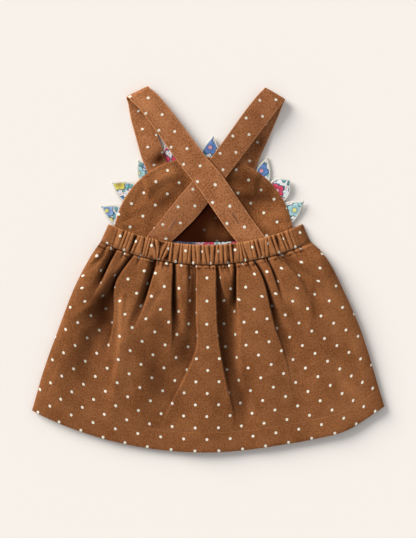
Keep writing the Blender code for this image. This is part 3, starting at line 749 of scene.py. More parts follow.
def painted(tree, name):
    """A number painted on the piece's points."""
    node = tree.nodes.new("ShaderNodeAttribute")
    node.attribute_name = name
    return node.outputs["Fac"]


def dot_distance(tree, across, along, spacing, shift):
    """Distance to the nearest dot of one square lattice, in metres."""
    offsets = []
    for value in (across, along):
        place = calc(tree, "ADD", calc(tree, "DIVIDE", value, spacing), shift + 0.5)
        offsets.append(calc(tree, "SUBTRACT", calc(tree, "FRACT", place), 0.5))
    squares = [calc(tree, "MULTIPLY", x, x) for x in offsets]
    return calc(tree, "MULTIPLY", calc(tree, "SQRT", calc(tree, "ADD", *squares)), spacing)


def needlecord(name, pile, creased=None, rough=1.0):
    """Fine corduroy with printed dots. creased is how far along its cut a hem's line runs across, in
    millimetres, and rough is how strongly the pile's tone varies."""
    cloth = bpy.context.scene.pinafore_cloth
    material, tree, shader = new_material(name, 0.92, 0.06, (1.0, 0.62, 0.34), 0.05)
    place, across, along = cut_place(tree)

    wander = calc(tree, "MULTIPLY", calc(tree, "SUBTRACT", grain(tree, place, 150), 0.5), 0.0006)
    wale = calc(tree, "DIVIDE", calc(tree, "ADD", across, wander), cloth.wale_pitch)
    from_crown = calc(tree, "ABSOLUTE", calc(tree, "SUBTRACT", calc(tree, "FRACT", wale), 0.5))
    crown = calc(tree, "SUBTRACT", 1.0, calc(tree, "POWER", calc(tree, "MULTIPLY", from_crown, 2.0), 3.0))
    fibres = grain(tree, place, 1400, 3.0, 0.6)
    speckle = grain(tree, place, 520, 3.0, 0.75)
    mottle = grain(tree, place, 45, 3.0, 0.6)

    dark = dyed(pile, *(f**rough for f in (0.66, 0.58, 0.46)))
    light = dyed(pile, *(f**rough for f in (1.32, 1.40, 1.52)))
    tone = calc(tree, "ADD", calc(tree, "MULTIPLY", speckle, 0.85), calc(tree, "MULTIPLY", mottle, 0.35))
    base = blended(tree, ramp(tree, tone, 0.42, 0.78), dark, light)
    base = blended(tree, ramp(tree, crown, 0.0, 0.9, 0.35, 0.0), base, dyed(pile, 0.45))
    # Painted highlight with some wear: the pile turns lighter as far as the number painted for it says.
    painted_lighting_and_wear = calc(tree, "MULTIPLY", painted(tree, "painted_lighting_and_wear"), ramp(tree, speckle, 0.25, 0.6, 0.45, 1.0))
    base = blended(tree, painted_lighting_and_wear, base, dyed(pile, 2.1, 2.35, 2.6))

    first = dot_distance(tree, across, along, cloth.dot_spacing, 0.0)
    second = dot_distance(tree, across, along, cloth.dot_spacing, 0.5)
    nearest = calc(tree, "MINIMUM", first, second)
    fuzzy = calc(tree, "ADD", nearest, calc(tree, "MULTIPLY", calc(tree, "SUBTRACT", fibres, 0.5), 0.0007))
    dot = ramp(tree, fuzzy, cloth.dot_size / 2 - 0.0002, cloth.dot_size / 2 + 0.0003, 1.0, 0.0)
    ink = blended(tree, ramp(tree, crown, 0.0, 0.7, 0.15, 0.0), tuple(cloth.dot_colour), pile)
    base = blended(tree, dot, base, ink)
    # Painted shade: the pile darkens as far as the shade painted on its points says.
    base = blended(tree, painted(tree, "shade"), base, dyed(pile, 0.10, 0.045, 0.008))

    height = calc(tree, "ADD", calc(tree, "MULTIPLY", crown, 0.6), calc(tree, "MULTIPLY", fibres, 0.5))
    height = calc(tree, "ADD", height, calc(tree, "MULTIPLY", mottle, 0.9))
    if creased:
        off = calc(tree, "ABSOLUTE", calc(tree, "SUBTRACT", along, creased * MM))
        off = calc(tree, "ADD", off, calc(tree, "MULTIPLY", speckle, 0.0006))
        groove = ramp(tree, off, 0.0002, 0.0012, 1.0, 0.0)
        height = calc(tree, "SUBTRACT", height, calc(tree, "MULTIPLY", groove, 1.6))
        base = blended(tree, calc(tree, "MULTIPLY", groove, 0.30), base, dyed(pile, 2.0))
    bump = step(tree, "Bump", 0.75, 0.0004, None, height)
    tree.links.new(base, shader.inputs["Base Color"])
    tree.links.new(bump, shader.inputs["Normal"])
    return material


FLOWERS = [
    # for picks up to, petal colour, eye colour
    (0.12, (0.40, 0.66, 0.68), (0.80, 0.72, 0.15)),
    (0.25, (0.30, 0.47, 0.76), (0.80, 0.72, 0.15)),
    (0.42, (0.84, 0.68, 0.10), (0.45, 0.30, 0.02)),
    (0.55, (0.34, 0.26, 0.58), (0.75, 0.70, 0.30)),
    (0.75, (0.12, 0.25, 0.58), (0.75, 0.30, 0.34)),
    (0.90, (0.70, 0.03, 0.10), (0.85, 0.55, 0.60)),
    (1.00, (0.85, 0.50, 0.52), (0.60, 0.08, 0.10)),
]
BERRIES = ((0.35, 0.50, 0.75), (0.75, 0.20, 0.25))
LEAVES = ((0.06, 0.25, 0.25), (0.22, 0.52, 0.52))
INK = (0.018, 0.035, 0.085)
COTTON_WHITE = (0.80, 0.80, 0.77)
COTTON_SHADE = (0.55, 0.53, 0.50)
WEAVE_PITCH = 0.0005            # of the printed cotton's threads, in metres


def stepped(tree, value, column):
    """A colour of the flower table, picked by a value from 0 to 1."""
    node = tree.nodes.new("ShaderNodeValToRGB")
    node.color_ramp.interpolation = "CONSTANT"
    points = node.color_ramp.elements
    while len(points) < len(FLOWERS):
        points.new(1.0)
    start = 0.0
    for point, row in zip(points, FLOWERS):
        point.position = start
        point.color = (*row[column], 1.0)
        start = row[0]
    tree.links.new(value, node.inputs[0])
    return node.outputs[0]


def repeated(tree, place, across, along, turn=0.0):
    """The place on the cloth, turned and counted in repeats of a motif; so many to a metre."""
    node = tree.nodes.new("ShaderNodeMapping")
    node.inputs["Rotation"].default_value = (0, 0, turn)
    node.inputs["Scale"].default_value = (across, along, 1)
    tree.links.new(place, node.inputs[0])
    return node.outputs[0]


def sprig(tree, place, lobes, size, scatter):
    """Scattered round motifs with a lobed edge: (distance past the edge, a number for each motif,
    distance from its middle)."""
    cells = tree.nodes.new("ShaderNodeTexVoronoi")
    cells.voronoi_dimensions = "2D"
    cells.inputs["Scale"].default_value = 1.0
    cells.inputs["Randomness"].default_value = scatter
    tree.links.new(place, cells.inputs["Vector"])
    away = tree.nodes.new("ShaderNodeVectorMath")
    away.operation = "SUBTRACT"
    tree.links.new(place, away.inputs[0])
    tree.links.new(cells.outputs["Position"], away.inputs[1])
    split = tree.nodes.new("ShaderNodeSeparateXYZ")
    tree.links.new(away.outputs[0], split.inputs[0])
    chance = tree.nodes.new("ShaderNodeSeparateColor")
    tree.links.new(cells.outputs["Color"], chance.inputs[0])
    turn = calc(tree, "ARCTAN2", split.outputs[1], split.outputs[0])
    turn = calc(tree, "ADD", turn, calc(tree, "MULTIPLY", chance.outputs[1], 6.3))
    lobe = calc(tree, "ABSOLUTE", calc(tree, "COSINE", calc(tree, "MULTIPLY", turn, lobes / 2)))
    reach = calc(tree, "MULTIPLY", calc(tree, "ADD", calc(tree, "MULTIPLY", lobe, 0.3), 0.7), size)
    radius = cells.outputs["Distance"]
    return calc(tree, "SUBTRACT", radius, reach), chance.outputs[0], radius


def floral(name):
    """White cotton with a small scattered print of flowers, leaves and berries, outlined in navy."""
    material, tree, shader = new_material(name, 0.8, 0.15, (1, 1, 1), 0.25)
    place, across, along = cut_place(tree)
    swirl = grain(tree, place, 220.0, 1.0)

    past, chance, _ = sprig(tree, repeated(tree, place, 260, 260), 1.0, 0.27, 0.9)
    berry = blended(tree, calc(tree, "GREATER_THAN", chance, 0.55), *BERRIES)
    print_colour = blended(tree, ramp(tree, past, -0.05, 0.05, 0.8, 0.0), COTTON_WHITE, berry)

    past, chance, _ = sprig(tree, repeated(tree, place, 190, 90, 0.6), 2.0, 0.32, 0.9)
    leaf = blended(tree, chance, *LEAVES)
    print_colour = blended(tree, ramp(tree, past, 0.03, 0.10, 1.0, 0.0), print_colour, INK)
    print_colour = blended(tree, ramp(tree, past, -0.03, 0.02, 1.0, 0.0), print_colour, leaf)

    past, chance, radius = sprig(tree, repeated(tree, place, 58, 58), 5.0, 0.50, 0.7)
    pick = calc(tree, "ADD", calc(tree, "MULTIPLY", chance, 0.3), painted(tree, "shade"))
    pick = calc(tree, "FRACT", pick)
    petal, eye = stepped(tree, pick, 1), stepped(tree, pick, 2)
    petal = blended(tree, ramp(tree, radius, 0.08, 0.40, 0.55, 0.0), petal, dyed(INK, 0.5))
    print_colour = blended(tree, ramp(tree, past, 0.0, 0.07, 1.0, 0.0), print_colour, INK)
    print_colour = blended(tree, ramp(tree, past, -0.05, -0.01, 1.0, 0.0), print_colour, petal)
    print_colour = blended(tree, ramp(tree, radius, 0.10, 0.14, 1.0, 0.0), print_colour, eye)

    turns = 2 * math.pi / WEAVE_PITCH
    weft, warp = (calc(tree, "SINE", calc(tree, "MULTIPLY", value, turns)) for value in (across, along))
    weave = calc(tree, "MULTIPLY", weft, warp)
    height = calc(tree, "ADD", calc(tree, "MULTIPLY", weave, 0.25), calc(tree, "MULTIPLY", swirl, 1.5))
    bump = step(tree, "Bump", 0.6, 0.00025, None, height)
    # Painted shade: the cotton darkens a little where its swirl lies low.
    print_colour = blended(tree, ramp(tree, swirl, 0.3, 0.7, 0.10, 0.0), print_colour, COTTON_SHADE)
    # Painted shade: the cotton darkens towards ink as far as the number painted on its points says.
    print_colour = blended(tree, painted(tree, "painted_lighting_and_wear"), print_colour, INK)
    tree.links.new(print_colour, shader.inputs["Base Color"])
    tree.links.new(bump, shader.inputs["Normal"])
    return material


def thread(name, dye, pitch):
    """Sewing thread laid side by side: stitches of this pitch show along the cut's length."""
    material, tree, shader = new_material(name, 0.6, 0.25, (1, 1, 1), 0.4)
    place, _, along = cut_place(tree)
    lie = calc(tree, "ADD", along, calc(tree, "MULTIPLY", grain(tree, place, 900), 0.0004))
    strand = calc(tree, "ABSOLUTE", calc(tree, "SINE", calc(tree, "MULTIPLY", lie, math.pi / pitch)))
    base = blended(tree, ramp(tree, strand, 0.0, 0.6, 0.40, 0.0), dye, dyed(dye, 0.5))
    uneven = ramp(tree, grain(tree, place, 300), 0.3, 0.7, 0.15, 0.0)
    base = blended(tree, uneven, base, dyed(dye, 0.6))
    tree.links.new(base, shader.inputs["Base Color"])
    tree.links.new(step(tree, "Bump", 0.8, 0.0003, None, strand), shader.inputs["Normal"])
    return material


def twisted_thread(name, dye):
    """Sewing thread whose twist is read from each stitch's own place."""
    material, tree, shader = new_material(name, 0.6, 0.3, (1, 0.8, 0.6), 0.4)
    place = step(tree, "TexCoord").node.outputs["Object"]
    twist = grain(tree, place, 1800, 2.0)
    base = blended(tree, ramp(tree, twist, 0.3, 0.7), dyed(dye, 0.6), dyed(dye, 1.2))
    tree.links.new(base, shader.inputs["Base Color"])
    tree.links.new(step(tree, "Bump", 0.6, 0.0002, None, twist), shader.inputs["Normal"])
    return material


def sewing_thread():
    """The brown thread of every seam."""
    return made_once("brown_thread", twisted_thread, tuple(bpy.context.scene.pinafore_cloth.thread_colour))


def satin_thread():
    """The buttonholes' thread, laid side by side."""
    straps = bpy.context.scene.pinafore_cloth.strap_colour
    return made_once("satin_thread", thread, dyed(straps, 0.9), 0.0005)


def front_cord():
    """The needlecord of the dress's front."""
    return made_once("front_needlecord", needlecord, tuple(bpy.context.scene.pinafore_cloth.cord_colour))


def printed_cotton():
    """The cotton of the petals and the facing."""
    return made_once("floral_print", floral)


def painted_slit_shadow(name):
    """A dark material of painted shadow for the inside of a buttonhole's slit."""
    material, _, shader = new_material(name, 0.95, 0.0, specular=0.05)
    shader.inputs["Base Color"].default_value = (0.02, 0.006, 0.002, 1)
    return material


# ---------------------------------------------------------------------- the bib


def rim_point(angle):
    """A point of the bib's rim, at an angle in radians from +X."""
    c, s = abs(math.cos(angle)), abs(math.sin(angle))
    reach = ((c / BIB_HALF_WIDTH) ** BIB_POWER + (s / BIB_HEIGHT) ** BIB_POWER) ** (-1 / BIB_POWER)
    return BIB_CENTRE + reach * Vector((math.cos(angle), math.sin(angle)))


def rim_meets_waist(side, radius):
    """The angle at which the rim meets an arc of the front waist, on one side."""
    low, high = 0.0, math.radians(60)
    for _ in range(40):         # halves the range until it is exact
        middle = (low + high) / 2
        point = rim_point(middle if side > 0 else math.pi - middle)
        if (point - FRONT_CENTRE).length > radius:
            low = middle
        else:
            high = middle
    return high if side > 0 else math.pi - high


ROOT_REACH, ROOT_SLOPE = 15.0, 9.0          # how far in the lining is raised by the petals' roots
STRAP_END_REACH, STRAP_END_MARGIN, STRAP_END_SLOPE = 13.0, 3.0, 12.0    # and by the strap ends


def bib_spokes(radius):
    """A rule from (share round the rim, share out to it) to a point in plan and how far it is inside."""
    start, stop = rim_meets_waist(1, radius), rim_meets_waist(-1, radius)
    foot = on_arc(FRONT_CENTRE, radius, 0)

    def spot(share, ring):
        angle = start + (stop - start) * share
        end = start if share < 0.5 else stop
        corner = rim_point(end)
        waist = on_arc(FRONT_CENTRE, radius, ring * angle_at(FRONT_CENTRE, corner))
        spoke = rim_point(angle) - foot
        near_waist = 1 - smooth(3 * abs(angle - end))
        point = foot + spoke * ring + (waist - foot.lerp(corner, ring)) * near_waist
        return point, spoke.length * (1 - ring)

    return spot


def strap_end_frame(front):
    """Middle, along-the-rim direction and half width of a strap where it enters the bib."""
    arm, neck = Vector(front[1][0:2]), Vector(front[1][3:5])
    return (arm + neck) / 2, (neck - arm).normalized(), (neck - arm).length / 2


def lining_height(point, inward):
    """Underside of the lining: low inside, raised over the petals' roots and the strap ends."""
    height = LINING_REST + (RIM_REST - LINING_REST) * smooth((ROOT_REACH - inward) / ROOT_SLOPE)
    for strap in STRAPS:
        middle, along, half = strap_end_frame(strap["front"])
        beside = abs((point - middle).dot(along)) - half - STRAP_END_MARGIN
        away = max(beside, inward - STRAP_END_REACH, 0.0)
        raised = smooth(1 - away / STRAP_END_SLOPE)
        height = max(height, LINING_REST + (STRAP_REST - LINING_REST) * raised)
    return height


LINING_CREASES = [
    # from x, y,     to x, y,      half width, height
    (88.0, 66.0, 60.0, 78.0, 4.5, 1.5),
    (90.0, 58.0, 66.0, 62.0, 4.0, 1.3),
    (84.0, 76.0, 58.0, 96.0, 5.0, 1.2),
    (92.0, 46.0, 72.0, 44.0, 4.0, 1.0),
    (-88.0, 66.0, -66.0, 76.0, 4.0, 1.0),
    (-94.0, 50.0, -74.0, 52.0, 3.5, 1.3),
    (-100.0, 42.0, -80.0, 38.0, 3.0, 1.2),
    (-20.0, 60.0, 10.0, 34.0, 8.0, 0.8),
]
RIM_STITCH_IN = 3.6
# The lining's dots: the place of one, their spacing, how much the grain leans to each side and
# how much the rows curve on the left and on the right of the turn.
LINING_DOT = Vector((-60.6, 71.65))
LINING_SPACING = (27.37, 26.91)
LINING_LEAN = 0.00113
LINING_UPRIGHT = Vector((-38.0, 78.8))      # here the grain runs straight
LINING_TURN = -3.45
LINING_CURVE = (0.000435, 0.0013)


def lining_surface(share, ring, spot):
    """A point of the lining's outer face."""
    point, inward = spot(share, ring)
    height = lining_height(point, inward) + CORD / 2
    rim_pucker = 0.35 * bell((inward - RIM_STITCH_IN) / 2.2)
    height -= rim_pucker * (0.5 + unevenness(point.x, point.y, 4.5, 3.0))
    height += max(crease(point, LINING_CREASES), 0) * smooth(inward / 4)
    height += 0.35 * unevenness(point.x, point.y, 26, 1.0) * smooth(inward / 10)
    height -= 0.5 * bell(inward / 0.9)
    return Vector((point.x, point.y, height))


def lining_cut(point):
    """Where a point of the lining was on the cloth: the grain leans out towards the right."""
    lean = LINING_LEAN * (point.x - LINING_UPRIGHT.x) * (LINING_UPRIGHT.y - point.y)
    curve = LINING_CURVE[point.x > LINING_TURN] * (point.x - LINING_TURN) ** 2
    away = point - LINING_DOT - Vector((lean, curve))
    return tuple(DOT_SPACING * part / spacing for part, spacing in zip(away, LINING_SPACING))


# Spots where the painted shade between the straps is lighter.
PALER_SPOTS = [
    # x, y, half width, half height, how much paler
    (4, 42, 7, 12, 0.20),
    (18, 40, 9, 9, 0.36),
]


def lining_painted_shade(point):
    """How much painted shade darkens the lining below the crossing straps."""
    half = 44 + 8 * smooth((78 - point.y) / 26)
    dark = smooth((86 - point.y) / 16) * smooth((half - abs(point.x + 3)) / 12)
    paler = sum(
        amount * bell((point.x - x) / half_width) * bell((point.y - y) / half_height)
        for x, y, half_width, half_height, amount in PALER_SPOTS
    )
    return dark * (1 - paler)


def make_lining():
    """The bib's lining, with the stitches round its rim."""
    radius = LINING_SEAM_RADIUS - SEAM_GAP
    spot = bib_spokes(radius)
    bm = flat_cloth(220, 80)

    def place(a, d):
        return lining_surface(a, d, spot)

    # Painted shade below the crossing straps and from the strokes.
    def shade(a, d):
        point, _ = spot(a, d)
        return max(lining_painted_shade(point), painted_light_and_shade(point, LINING_PAINTED_SHADING)[0])

    # Painted highlight with some wear along the rim's edge, and the strokes' painted light.
    def painted_lighting_and_wear(a, d):
        point, inward = spot(a, d)
        return max(0.6 * bell(inward / 0.8), painted_light_and_shade(point, LINING_PAINTED_SHADING)[1])

    lay(bm, place, lambda a, d: lining_cut(spot(a, d)[0]), painted_lighting_and_wear=painted_lighting_and_wear, shade=shade)
    bmesh.ops.remove_doubles(bm, verts=bm.verts, dist=MERGE)
    cloth = bpy.context.scene.pinafore_cloth
    piece = finish_piece(
        "bib_lining_cord", bm, [needlecord("lining_needlecord", tuple(cloth.lining_colour), rough=1.3)],
        ["bib_lining"], CORD,
    )

    bm = bmesh.new()
    line = []
    for share in (k / 300 for k in range(301)):
        reach = spot(share, 0)[1]
        line.append((lining_surface(share, 1 - RIM_STITCH_IN / reach, spot) + UP * CORD / 2, UP))
    stitches(bm, line, cloth.stitch_length / MM, width=0.4)
    finish_piece("bib_rim_stitches", bm, [sewing_thread()])


def make_bib_front():
    """The plain front of the bib, flat on the surface."""
    spot = bib_spokes(FRONT_TOP_RADIUS - SEAM_GAP)
    bm = flat_cloth(120, 40)

    def place(a, d):
        point, _ = spot(a, d)
        return Vector((point.x, point.y, CORD / 2))

    lay(bm, place, lambda a, d: tuple(spot(a, d)[0]))
    bmesh.ops.remove_doubles(bm, verts=bm.verts, dist=MERGE)
    piece = finish_piece("bib_front_cord", bm, [front_cord()], ["bib_front"], thickness=CORD)


# ---------------------------------------------------------------------- petals


def petal_frame(rim, points):
    """Root, direction along the rim, out of it, and the petal's own axis."""
    before, base, after = (rim_point(math.radians(rim + nudge)) for nudge in (-0.5, 0, 0.5))
    along = (before - after).normalized()
    out = Vector((-along.y, along.x))
    axis = Vector((math.cos(math.radians(points)), math.sin(math.radians(points))))
    return base, along, out, axis


def petal_point(shape, across, t, inset=0.0):
    """A point of a petal's middle layer: across -1 to 1, t -1 at its root to 1 at its tip."""
    rim, points, reach, width, lift, bluntness = shape
    base, along, out, axis = petal_frame(rim, points)
    if t < 0:
        middle = base + out * PETAL_ROOT * t
        half = 0.5 * width * (1 + 0.06 * t)
    else:
        middle = base + axis * (reach - inset) * t
        half = 0.5 * width * (1 - t**bluntness) + 0.2
    half = max(half - inset, 0.1)
    t = max(t, 0.0)
    side = (along * (1 - t) + Vector((axis.y, -axis.x)) * t).normalized()
    p = middle + side * half * across
    height = PETAL_REST + COTTON / 2 + lift * smooth(t) + 0.25 * lift * (1 - across**2) * t
    return Vector((p.x, p.y, height))


def make_petal(row, cotton, edging):
    """One petal with its edging. Its row says where it sits and which part of the print it shows."""
    name, *shape, print_x, print_y, print_turn, tint = row
    turn = Matrix.Rotation(math.radians(print_turn), 2)
    rim_middle = petal_frame(shape[0], shape[1])[0]
    bm = flat_cloth(28, 36)

    def spot(a, d):
        t = 1.25 * d - 0.25
        return 2 * a - 1, (t * 4 if t < 0 else 1 - (1 - t) ** 1.3)

    def place(a, d):
        across, t = spot(a, d)
        p = petal_point(shape, across, t, EDGING[0] / 2)
        full = (1 - across**4) * (1 - max(t, 0) ** 4)
        return p + UP * (0.35 * full + 0.12 * unevenness(p.x, p.y, 5, 2.0))

    def cut(a, d):
        p = petal_point(shape, *spot(a, d), EDGING[0] / 2).to_2d() - rim_middle
        return turn @ p + Vector((print_x, print_y))

    lay(bm, place, cut, shade=lambda a, d: tint)
    piece = finish_piece(name + "_cotton", bm, [cotton], [name], COTTON)

    edge = make_edging(name + "_edging", shape, edging)


def make_edging(name, shape, edging):
    """The satin-stitched edge of a petal: a flat tube up its one side and down the other."""
    steps = 90
    outline = []
    for k in range(steps + 1):
        round_it = 2 * k / steps - 1
        t = 1.16 * (1 - abs(round_it)) - 0.16
        t = 1 - (1 - t) ** 1.5 if t > 0 else t
        outline.append(petal_point(shape, -1 if round_it < 0 else 1, t, EDGING[0] / 2))
    marks = lengths_along(outline)
    bm = flat_cloth(10, steps)

    def place(a, d):
        k = round(d * steps)
        along = (outline[min(k + 1, steps)] - outline[max(k - 1, 0)]).normalized()
        side = along.cross(UP).normalized()
        turn = 2 * math.pi * a
        return outline[k] + (side * EDGING[0] * math.cos(turn) + UP * EDGING[1] * math.sin(turn)) / 2

    lay(bm, place, lambda a, d: (a * 6, marks[round(d * steps)]))
    close_tube(bm)
    return finish_piece(name, bm, [edging])


# --------------------------------------------------------------------- the straps


def shoulder_fold(low, high, facing):
    """One edge of the strap's fold over the shoulder, round from its lower to its upper end."""
    centre, arm = (low + high) / 2, (low - high) / 2
    out = Vector((*facing, 0)) * arm.length
    turns = [math.radians(turn) for turn in range(12, 180, 12)]
    return [centre + arm * math.cos(turn) + out * math.sin(turn) for turn in turns]


def strap_rings(front, back, facing):
    """(middle, across, normal, half width) of each ring along a strap."""
    edges = []
    for k in (0, 3):
        low, high = ([Vector(row[k:k + 3]) for row in rows] for rows in (front, back))
        low, fold, high = spline(low, 7), shoulder_fold(low[-1], high[0], facing), spline(high, 7)
        edges.append(low + fold + high)
    rings = []
    middles = [(a + n) / 2 for a, n in zip(*edges)]
    for k, (arm, neck) in enumerate(zip(*edges)):
        along = middles[min(k + 1, len(middles) - 1)] - middles[max(k - 1, 0)]
        across = (neck - arm).normalized()
        normal = along.cross(across).normalized()
        rings.append((middles[k], across, normal, (neck - arm).length / 2))
    return rings


def strap_section(turn):
    """(across -1 to 1, up -1 to 1) of a flat tube's section."""
    parts = zip((math.cos(turn), math.sin(turn)), STRAP_ROUNDNESS)
    return tuple(math.copysign(abs(part) ** power, part) for part, power in parts)


def strap_point(rings, k, x, z):
    """A point of a strap: x and z in shares of its half width and half thickness."""
    middle, across, normal, half = rings[k]
    ripple = 0.16 * noise.noise(Vector((k * 0.16, x * 1.6, middle.x))) * (1 - x**4)
    pinch = 1 - 0.22 * bell((abs(x) * half - half + STRAP_STITCH_IN) / 1.0)
    return middle + across * half * x + normal * (STRAP / 2 * z * pinch + ripple)


def make_strap(strap, cord):
    """One strap with its edge stitching."""
    rings = strap_rings(strap["front"], strap["back"], strap["facing"])
    marks = lengths_along([ring[0] for ring in rings])
    outer = math.copysign(1, rings[-1][2].z)
    rows, columns = len(rings) - 1, 72
    shoulder = max(range(rows + 1), key=lambda k: rings[k][0].y)
    bm = flat_cloth(columns, rows)

    def spot(a, d):
        return (round(d * rows), *strap_section(2 * math.pi * a))

    def place(a, d):
        return strap_point(rings, *spot(a, d))

    def cut(a, d):
        k, x, z = spot(a, d)
        across = x * rings[k][3]
        if z * outer < 0:
            column, start, spacing = strap["inner_dots"]
            return (across - column) * STRAP_SQUEEZE, DOT_SPACING * (marks[k] - start) / spacing
        row = on_table(strap["dots"], marks[k])
        return (across - strap["first_column"]) * STRAP_SQUEEZE, DOT_SPACING * row

    # Painted shade and painted light from the strokes, plus the back stretch's darkness.
    def painted_strap_shading(a, d):
        k = round(d * rows)
        dark, light = painted_light_and_shade(place(a, d), strap["painted_shading"][k > shoulder])
        return dark + strap["dusk"] * smooth((k - shoulder) / 6), light

    # Painted highlight with some wear along the strap's edges, and the strokes' painted light.
    def painted_lighting_and_wear(a, d):
        _, x, _ = spot(a, d)
        return max(0.6 * smooth((abs(x) - 0.93) / 0.03), painted_strap_shading(a, d)[1])

    lay(bm, place, cut, painted_lighting_and_wear=painted_lighting_and_wear, shade=lambda a, d: painted_strap_shading(a, d)[0])
    close_tube(bm)
    piece = finish_piece(strap["name"] + "_cord", bm, [cord], [strap["name"]])

    cloth = bpy.context.scene.pinafore_cloth
    bm = bmesh.new()
    for side in (-1, 1):
        for face in (-1, 1):
            line = []
            for k, (_, _, normal, half) in enumerate(rings):
                x = side * (1 - STRAP_STITCH_IN / half)
                line.append((strap_point(rings, k, x, face), normal * face))
            stitches(bm, line, cloth.stitch_length / MM, width=0.42)
    stitched = finish_piece(strap["name"] + "_stitches", bm, [sewing_thread()])
    return rings, marks


BUTTONHOLE = (15.0, 2.6, 1.1)   # length, width over the stitches, width of the stitching


def make_buttonhole(name, rings, marks, where):
    """A buttonhole worked along the middle of a strap, its satin stitches round a closed slit."""
    middle, k = at_length([ring[0] for ring in rings], marks, where)
    _, across, normal, _ = rings[k]
    normal = normal * math.copysign(1, normal.z)
    along = normal.cross(across).normalized()
    lie = Matrix((along, across, normal)).transposed().to_4x4()
    lie = Matrix.Translation(middle + normal * (STRAP / 2 + 0.05)) @ lie
    reach, width, lip = BUTTONHOLE
    straight, round_end = (reach - width) / 2, (width - lip) / 2
    bm = flat_cloth(10, 64)

    def place(a, d):
        turn = 2 * math.pi * d
        out = Vector((math.cos(turn), math.sin(turn), 0))
        path = Vector((math.copysign(straight, math.cos(turn)), 0, 0)) + out * round_end
        section = 2 * math.pi * a
        return lie @ (path + out * lip / 2 * math.cos(section) + UP * 0.4 * math.sin(section))

    lay(bm, place, lambda a, d: (a * 3, d * 2 * reach))
    close_tube(bm)
    worked = len(bm.faces)
    # A flat dark lens in the slit: painted shadow.
    slit = lie @ Matrix.Diagonal((straight + round_end, 0.5, 0.22, 1))
    bmesh.ops.create_icosphere(bm, subdivisions=2, radius=1, matrix=slit)
    bm.faces.ensure_lookup_table()
    for face in bm.faces[worked:]:
        face.material_index = 1
    finish_piece(name, bm, [satin_thread(), made_once("slit", painted_slit_shadow)])


# ----------------------------------------------------------------- the waistband


BAND_EASE = 0.05                # the gathers fade over this share at each end
BAND_STITCH_DOWN = 0.94         # the waist seam's stitches, as a share of the band's depth
# The print on the band: a column of dots crosses here, so many spaces run along the band, and
# the cloth is cut from one height down to another.
BAND_COLUMN = -6.9
BAND_SPACES = 12.4
BAND_CUT = (7.6, -14.8)


def band_ease(share):
    """0 at the band's ends and 1 between them."""
    return smooth(share / BAND_EASE) * smooth((1 - share) / BAND_EASE)


def band_groove(share, down):
    """How deep the gathers' grooves cut at a place on the band, 0 on a ridge to 1 in the deepest."""
    x = share * BAND_RIDGES + 0.8 * noise.noise(Vector((share * 26, 4.0, 0.0)))
    x += 1.1 * noise.noise(Vector((share * 19, 6.0, 0.0))) * (2 * down - 1)
    deepest = 0.0
    for k in (math.floor(x), math.floor(x) + 1):
        chance = abs(noise.cell(Vector((k + 0.5, 3.5, 0.5))))
        fade = 0.85 + 0.7 * noise.noise(Vector((k * 1.7, down * 1.6, 2.0)))
        depth = (0.38 + 0.62 * chance) * fade
        deepest = max(deepest, depth * bell((x - k) / (0.15 + 0.17 * chance)))
    return min(deepest, 1.0)


def band_surface(share, down):
    """The band's outer face: share 0 to 1 along it, and past that its rolled ends."""
    frill = 0.5 * noise.noise(Vector((share * 70, 0.0, 7.0))) * bell(down / 0.15)
    radius = BAND_TOP_RADIUS + (SEAM_RADIUS - BAND_TOP_RADIUS) * down + frill
    roll = BAND_ROLL / BAND_TOP_RADIUS
    if 0 <= share <= 1:
        ends = band_ease(share)
        pinch = smooth(down / 0.10 + 0.45) * smooth((1 - down) / 0.12 + 0.2)
        angle = (WAIST_HALF_ANGLE - roll) * (2 * share - 1)
        ridge = 0.25 * noise.noise(Vector((share * 45, down, 3.0))) - 0.85 * band_groove(share, down)
        height = BAND_INSIDE + BAND_THICKNESS + GROOVE_DEPTH * ends * (pinch * ridge + 0.75)
    else:
        turn = min((share - 1 if share > 1 else -share) / BAND_END, 1) * math.pi / 2
        angle = WAIST_HALF_ANGLE - roll * (1 - math.sin(turn))
        angle = angle if share > 1 else -angle
        height = PETAL_REST + (BAND_INSIDE + BAND_THICKNESS - PETAL_REST) * math.cos(turn)
    height -= 1.0 * bell((1 - down) / 0.05) + 0.9 * bell(down / 0.05)
    p = on_arc(WAIST_CENTRE, radius, angle)
    return Vector((p.x, p.y, height))


def band_tone(share, down):
    """Painted shade and painted highlight of the band's pile: shade in the grooves and near the seam,
    highlight on the ridges and along the top edge.
    """
    groove = band_groove(share, down) if 0 < share < 1 else 0.0
    inside = band_ease(share)
    dark = smooth(1.6 * groove - 0.2) * inside * smooth(down / 0.12) * smooth((1 - down) / 0.05)
    dark = max(dark, 0.20 * smooth((down - 0.75) / 0.2))
    ridge = (0.50 + 0.16 * bell(down / 0.3)) * (1 - smooth(groove * 3)) * inside
    return dark, 0.45 * bell(down / 0.05) + ridge


